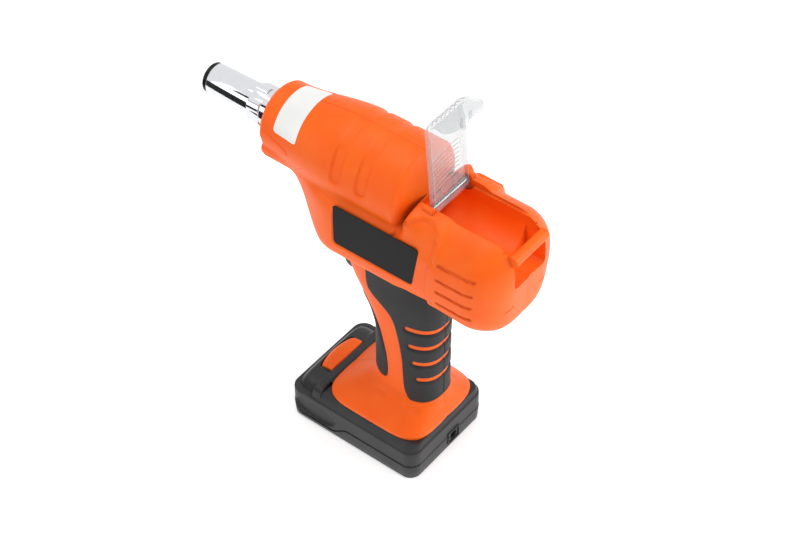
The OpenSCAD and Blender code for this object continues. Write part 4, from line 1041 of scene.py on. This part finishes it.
shoulder_levels = [
    (20, -48, 31.0, 35, 8, 2), (SHOULDER_Z - 0.3, -49.9, 32.0, 36.9, 8, 4),
    (SHOULDER_Z + 0.4, -49.7, 32.0, 36.7, 8, 4), (29.4, -49.7, 31.4, 34.3, 7, 5),
    (29.8, -49.5, 31.2, 34.0, 7, 5), (30.0, -49.1, 30.8, 33.5, 7, 5),
]
shoulder = grid_piece("shoulder", plan_rows(shoulder_levels))
print("shoulder rows:", len(shoulder_levels))

# %% [markdown]
# In front of the foot the battery rises to a band and a lower part round the release button. Their sides
# lean and their corners are soft, which blocks and bevels give only with much trying. So the sections lie
# across X, and each is a superellipse arch whose height, width and squareness change along the way.

# %% Band and hump at the front
ARCH_STEPS, HUMP_Z = 101, 21.0


def hump_rings():
    """Raised front of the battery: a tall band behind the button and a lower part round it that falls to
    the front. Its sides lean out downwards."""
    x = np.concatenate([[26.0, 26.2], np.linspace(26.5, 34.6, 16), np.linspace(35, 45, 24),
                        np.linspace(45.4, 49.9, 16)])
    top = 32.8 - 2.4 * ramp(x, 31.6, 33.6) - 6.6 * ramp(x, 43.5, 50.2) - 0.8 * ramp(x, 26.9, 26.0)
    front = ramp(x, 32.4, 35.4)[:, None]
    half = 34.7 - 4.9 * front - 3.0 * ramp(x, 40, 50)[:, None]
    a = np.linspace(0, np.pi, ARCH_STEPS)[None, :]
    c, s = np.cos(a), np.sin(a)
    up = np.abs(s) ** (2 / (9 - 4 * front))
    y = half * np.sign(c) * np.abs(c) ** (2 / (9 - 2 * front)) * (1 + (0.07 + 0.11 * front) * (1 - up))
    z = HUMP_Z + (top - HUMP_Z)[:, None] * up
    return np.stack([np.repeat(x[:, None], ARCH_STEPS, 1), y, z], -1)


hump = grid_piece("hump", hump_rings())
print("hump rows:", len(hump_rings()))

# %% [markdown]
# The battery slides on a rail with a flange, its rear wall has a framed charge socket, and the button
# moves in an opening that follows its bowed front. These are cut and joined last, as all parts of a shell
# have to be there before its edges are marked sharp.

# %% Openings and rail, and both shells finished
BUTTON_X, BUTTON_A, BUTTON_W, BOW, BUTTON_GAP = 38.0, 6.6, 16.0, 44.0, 0.3
SOCKET_Y, RAIL_END = -4.5, 26.2


def button_front(y, gap=0.0):
    """Station of the button's bowed front edge: a circle of radius BOW."""
    return BUTTON_X + BUTTON_A - BOW + np.sqrt((BOW + gap) ** 2 - y * y)


def button_hole():
    """Upright ring of the button's opening, 0.3 mm wider than the button."""
    y = np.linspace(-BUTTON_W - BUTTON_GAP, BUTTON_W + BUTTON_GAP, 33)
    back = np.full(2, BUTTON_X - BUTTON_A - BUTTON_GAP)
    x = np.concatenate([button_front(y, BUTTON_GAP), back])
    y = np.concatenate([y, [y[-1], y[0]]])
    return np.stack([np.stack([x, y, np.full_like(x, z)], -1) for z in (24.5, 50.0)])


def socket_hole():
    """Opening of the charge socket in the rear wall."""
    return moved_y(block_rings(-53, -42.5, 5, 5.6, 13.4, 0.3), SOCKET_Y)


rail = grid_piece("rail", block_rings(-30, RAIL_END, 20, 28, 32))
flange = grid_piece("flange", block_rings(-30, RAIL_END, 24, 31.45, 32.4, 0.3))
frame_top = grid_piece("frame_top", moved_y(block_rings(-51.5, -48, 5.9, 12.3, 14.3, 0.4), SOCKET_Y))
combine(upper, [shoulder, hump, rail, flange, frame_top], "UNION")
cut_button, cut_socket = grid_piece("cut_button", button_hole()), grid_piece("cut_socket", socket_hole())
combine(upper, [cut_button, cut_socket], "DIFFERENCE")
finish_mesh(upper, "battery", battery_plastic, 32)
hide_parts("battery_upper")
frame_low = grid_piece("frame_low", moved_y(block_rings(-51.5, -48, 5.9, 4.8, 11.5, 0.4), SOCKET_Y))
combine(lower, [frame_low], "UNION")
combine(lower, [grid_piece("cut_socket", socket_hole())], "DIFFERENCE")
finish_mesh(lower, "battery", battery_plastic, 32)
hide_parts("battery_lower")
print("case faces:", len(upper.data.polygons), len(lower.data.polygons))

# %% [markdown]
# The release button is a slim orange cap that bows to the front, and a thumb presses it down. A
# subdivided block would need its corners tuned by hand. Sections along Y follow the opening's formula
# with a small gap, so cap and opening fit by themselves.

# %% Release button
def button_rings():
    """Release button as sections along Y. Its top is nearly level and falls at the bowed front edge, as
    1 minus the fifth power of the way forward, and its edges are rounded."""
    y = (BUTTON_W - 0.05) * np.sin(np.linspace(-1, 1, 61) * np.pi / 2)
    q = np.sin(np.linspace(0, np.pi / 2, 40)) ** 2
    x0 = BUTTON_X - BUTTON_A + 0.15
    x = x0 + (button_front(y) - 0.1 - x0)[:, None] * q[None, :]
    along = 29.6 + 3.4 * (1 - q ** 5) - 1.2 * ramp(q, 0.1, 0)
    side = 1.3 * (np.abs(y) / BUTTON_W) ** 14
    top = along[None, :] - side[:, None]
    under = np.full_like(top, 27.2)
    y = np.repeat(y[:, None], len(q), 1)
    over = np.stack([x, y, top], -1)
    below = np.stack([x, y, under], -1)
    return np.concatenate([over, below[:, ::-1]], 1)


button = grid_piece("look_release_button", button_rings(), "release", deep_orange, angle=40)
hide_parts("release_button")
print("button faces:", len(button.data.polygons))

# %% [markdown]
# ## Trigger and labels
#
# The trigger is a curved plate that a finger pulls, with a rounded face. An extruded outline with a bevel
# would be round at its edges only. Here the side outline is repeated along Y, and each section is drawn
# in towards the edges, so the whole face bulges.

# %% Trigger
TRIGGER_SIDE = [(14, 129.5), (18, 126.6), (23.5, 126.6), (26.4, 129.6), (27.0, 134), (26.0, 141),
                (26.6, 148), (27.5, 156.4), (14, 156.4)]
TRIGGER_BACK, TRIGGER_TOP = 14, 156.4


def trigger_rings():
    """Sections along Y of the trigger's side outline, its front drawn in near both sides."""
    outline = rounded(TRIGGER_SIDE, 3)
    y = 8.45 * np.sin(np.linspace(-1, 1, 33) * np.pi / 2)
    pull = 2.6 * (1 - np.sqrt(1 - np.clip(np.abs(y) / 8.5, 0, 1) ** 5))
    p = np.repeat(outline[None, :, :], len(y), 0)
    x = TRIGGER_BACK + (p[..., 0] - TRIGGER_BACK) * (1 - pull[:, None] / 13)
    z = TRIGGER_TOP - (TRIGGER_TOP - p[..., 1]) * (1 - pull[:, None] / 40)
    return np.stack([x, np.repeat(y[:, None], outline.shape[0], 1), z], -1)


trigger = grid_piece("look_trigger", trigger_rings(), "trigger_body", trigger_plastic, angle=40)
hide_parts("trigger")
print("trigger faces:", len(trigger.data.polygons))

# %% [markdown]
# The label on the snout is a thin film that lies round the curved body. A shrinkwrap modifier would lay a
# flat sheet onto it. Taking the film's points from the body's own formula does it exactly: the same
# surface, raised by a tenth of a millimetre. It is left bare.

# %% Label round the snout
STEP_PER_MM = 1 / 100.0


def film(name, x, low_t, high_t, corner_mm, lift, material, replaced):
    """Film on the body from signed step low_t to high_t round it, negative on the right. Near its ends it
    is narrowed by the corner radius minus the circle's height, which rounds its corners."""
    d = np.minimum(x - x[0], x[-1] - x)
    cut = corner_mm - np.sqrt(np.maximum(0, corner_mm ** 2 - np.maximum(0, corner_mm - d) ** 2))
    steps = np.linspace(0, 1, 90)[None, :]
    lo, hi = low_t + cut[:, None] * STEP_PER_MM, high_t - cut[:, None] * STEP_PER_MM
    t = lo + (hi - lo) * steps
    p = body_surface(x[:, None], np.abs(t))
    p[..., 1] = np.where(t < 0, -p[..., 1], p[..., 1])
    n = np.cross(np.gradient(p, axis=0), np.gradient(p, axis=1))
    n /= np.linalg.norm(n, axis=-1, keepdims=True) + 1e-9
    n *= np.sign(((p - np.array([0, 0, 190.0])) * n).sum(-1).mean())
    rings = np.concatenate([p + n * lift, (p - n * 0.4)[:, ::-1]], 1)
    piece = grid_piece(name, rings, "root", material, angle=40)
    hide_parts(replaced)


label_stations = np.linspace(47.5, 66.5, 60)
film("look_snout_label", label_stations, -0.16, 0.40, 3.0, 0.12, white_film, "snout_label")
print("snout label stations:", len(label_stations))

# %% [markdown]
# The label on the side lies in its flat. It is the label's outline with round corners, in three rows from
# the flat outwards, the last one drawn in a little as a rounded edge. An image texture on the body would
# show a label too, but it would have no edge that catches light. It is left bare as well.

# %% Label on the side
def corner_ring(points, r, steps=10):
    """Outline grown by r with round corners: each corner, taken anticlockwise, becomes an arc between the
    outward directions of its two sides."""
    p = np.asarray(points, float)
    side = np.roll(p, -1, axis=0) - p
    out = np.arctan2(-side[:, 0], side[:, 1])
    rows = []
    for k in range(len(p)):
        a0 = out[k - 1]
        turn = (out[k] - a0) % (2 * np.pi)
        a = a0 + turn * np.linspace(0, 1, steps)
        rows.append(np.stack([p[k, 0] + r * np.cos(a), p[k, 1] + r * np.sin(a)], -1))
    return np.concatenate(rows)


def label_ring(y, inset):
    """The label's outline at side distance y, with corners of 2.7 mm less the inset."""
    edge = corner_ring(LABEL[::-1], 2.7 - inset)
    return np.stack([edge[:, 0], np.full(len(edge), y), edge[:, 1]], -1)


label_rows = [(33.0, 0.02), (33.22, 0.0), (33.32, 0.1)]
label_rings = np.stack([label_ring(y, inset) for y, inset in label_rows])
side_label = grid_piece("look_side_label", label_rings, "root", black_film, angle=40)
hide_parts("side_label")
print("side label rows:", len(label_rows))

# %% [markdown]
# ## CAD pieces that stay
#
# Everything inside, and the small hardware, keeps its CAD mesh and gets the material that it is made of.
# Modelling these again would show nothing more, as they are plain turned and toothed forms.

# %% Materials of the CAD pieces
KEPT = {
    orange: ["catch_bar"],
    spring_wire: ["hinge_pin", "jaw_spring", "trigger_spring", "release_spring", "guide_tube"],
    machined: ["front_frame", "rear_plate", "ring_gear", "motor_can"],
    ground: ["jaw_case", "jaws", "jaw_pusher", "ball_screw", "torque_pin", "ball_nut", "thrust_bearing",
             "nut_bearing", "pinion", "planet_a", "planet_b", "planet_c"],
    copper: ["motor_rotor"],
    black_plastic: ["switch_module", "terminal_block", "charge_socket"],
    board_green: ["control_board"],
    black_steel: ["housing_screws"],
    cell_wrap: ["battery_cells"],
}
for material, names in KEPT.items():
    for name in names:
        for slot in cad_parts[name].material_slots:
            slot.material = material
print("kept CAD nodes:", sum(len(names) for names in KEPT.values()))

# %% [markdown]
# ## Light and floor
#
# The photograph was taken in a white studio. Its surround is even, and the camera and polished metal see
# it brighter than it lights the tool, so that the background is white without washing the colours out. An
# image of a studio could surround the scene, but two plain backgrounds and a switch do it.

# %% White surround
WHITE = (1.0, 1.0, 1.0, 1.0)
world = bpy.data.worlds.new("studio")
bpy.context.scene.world = world
world.use_nodes = True
dim = world.node_tree.nodes["Background"]
dim.inputs["Color"].default_value = WHITE
dim.inputs["Strength"].default_value = 0.42
bright = add(world, "ShaderNodeBackground", Color=WHITE, Strength=1.0)
ray = add(world, "ShaderNodeLightPath")
seen = add(world, "ShaderNodeMath", {0: ray.outputs["Is Camera Ray"], 1: ray.outputs["Is Glossy Ray"]},
           operation="MAXIMUM")
switch = add(world, "ShaderNodeMixShader", {"Fac": seen.outputs["Value"], 1: dim.outputs["Background"],
                                            2: bright.outputs["Background"]})
feed(world, world.node_tree.nodes["World Output"], {"Surface": switch.outputs["Shader"]})
print("surround nodes:", len(world.node_tree.nodes))

# %% [markdown]
# Lamps with a broad face give the soft highlights of studio boxes. A large one hangs overhead, one from
# behind brightens the rear face, and a weak one fills the front. Point lamps would leave hard spots on
# the satin plastic.

# %% Soft lamps
def softbox(name, place, target, width, height, power):
    """Rectangular lamp at place, facing target; sizes and places in metres, power in watts."""
    lamp = bpy.data.lights.new(name, "AREA")
    lamp.shape = "RECTANGLE"
    lamp.size, lamp.size_y, lamp.energy = width, height, power
    obj = bpy.data.objects.new(name, lamp)
    bpy.context.scene.collection.objects.link(obj)
    obj.location = place
    obj.rotation_euler = (Vector(target) - Vector(place)).to_track_quat("-Z", "Y").to_euler()


softbox("overhead", (0.1, 0.1, 1.3), (0, 0, 0.15), 1.0, 1.0, 7.5)
softbox("behind", (-1.0, -0.45, 0.6), (0, 0, 0.15), 0.8, 0.6, 7.0)
softbox("front_left", (0.9, 1.0, 0.6), (0, 0, 0.15), 0.8, 0.8, 1.8)
print("lamps:", len(bpy.data.lights))

# %% [markdown]
# The tool stands on white paper that fades into the background. A large flat panel does for it. It glows
# a little, as the real paper is lit by more lamps than are set up here, and so its shadow stays faint.

# %% Floor
FLOOR_HALF, FLOOR_Z_M = 4, -0.0002


def stage_panel(name, corners, material):
    """Flat four-cornered panel that belongs to the stage."""
    mesh = bpy.data.meshes.new(name)
    mesh.from_pydata(corners, [], [(0, 1, 2, 3)])
    mesh.materials.append(material)
    panel = bpy.data.objects.new(name, mesh)
    bpy.context.scene.collection.objects.link(panel)
    return panel


floor_paint = bpy.data.materials.new("White studio floor")
floor_paint.use_nodes = True
floor_shader = floor_paint.node_tree.nodes["Principled BSDF"]
floor_shader.inputs["Base Color"].default_value = (0.9, 0.9, 0.9, 1.0)
floor_shader.inputs["Roughness"].default_value = 0.9
floor_shader.inputs["Emission Color"].default_value = WHITE
floor_shader.inputs["Emission Strength"].default_value = 0.45
quarters = ((-1, -1), (1, -1), (1, 1), (-1, 1))
floor_corners = [(x * FLOOR_HALF, y * FLOOR_HALF, FLOOR_Z_M) for x, y in quarters]
stage_panel("floor", floor_corners, floor_paint)
print("floor side in m:", 2 * FLOOR_HALF)

# %% [markdown]
# Chrome shows what stands round it, and in an all-white room it would look like white plastic. The
# photograph's long dark stripes come from dark cards beside the lamps, so two are set up here. Only
# reflections see them. Painting the stripes on would leave them in place when the tool is turned.

# %% Dark cards
card_paint = bpy.data.materials.new("Black card")
card_paint.use_nodes = True
card_shader = card_paint.node_tree.nodes["Principled BSDF"]
card_shader.inputs["Base Color"].default_value = (0.01, 0.01, 0.01, 1.0)
card_shader.inputs["Roughness"].default_value = 1.0
CARDS = (("card_low", 0.23, 0.002, 0.226), ("card_high", 0.60, 0.54, 0.74))
for name, y, z0, z1 in CARDS:
    card = stage_panel(name, [(0.14, y, z0), (0.75, y, z0), (0.75, y, z1), (0.14, y, z1)], card_paint)
    card.visible_camera = card.visible_diffuse = card.visible_shadow = card.visible_transmission = False
bpy.context.scene.view_settings.view_transform = "Standard"
print("dark cards:", len(CARDS))
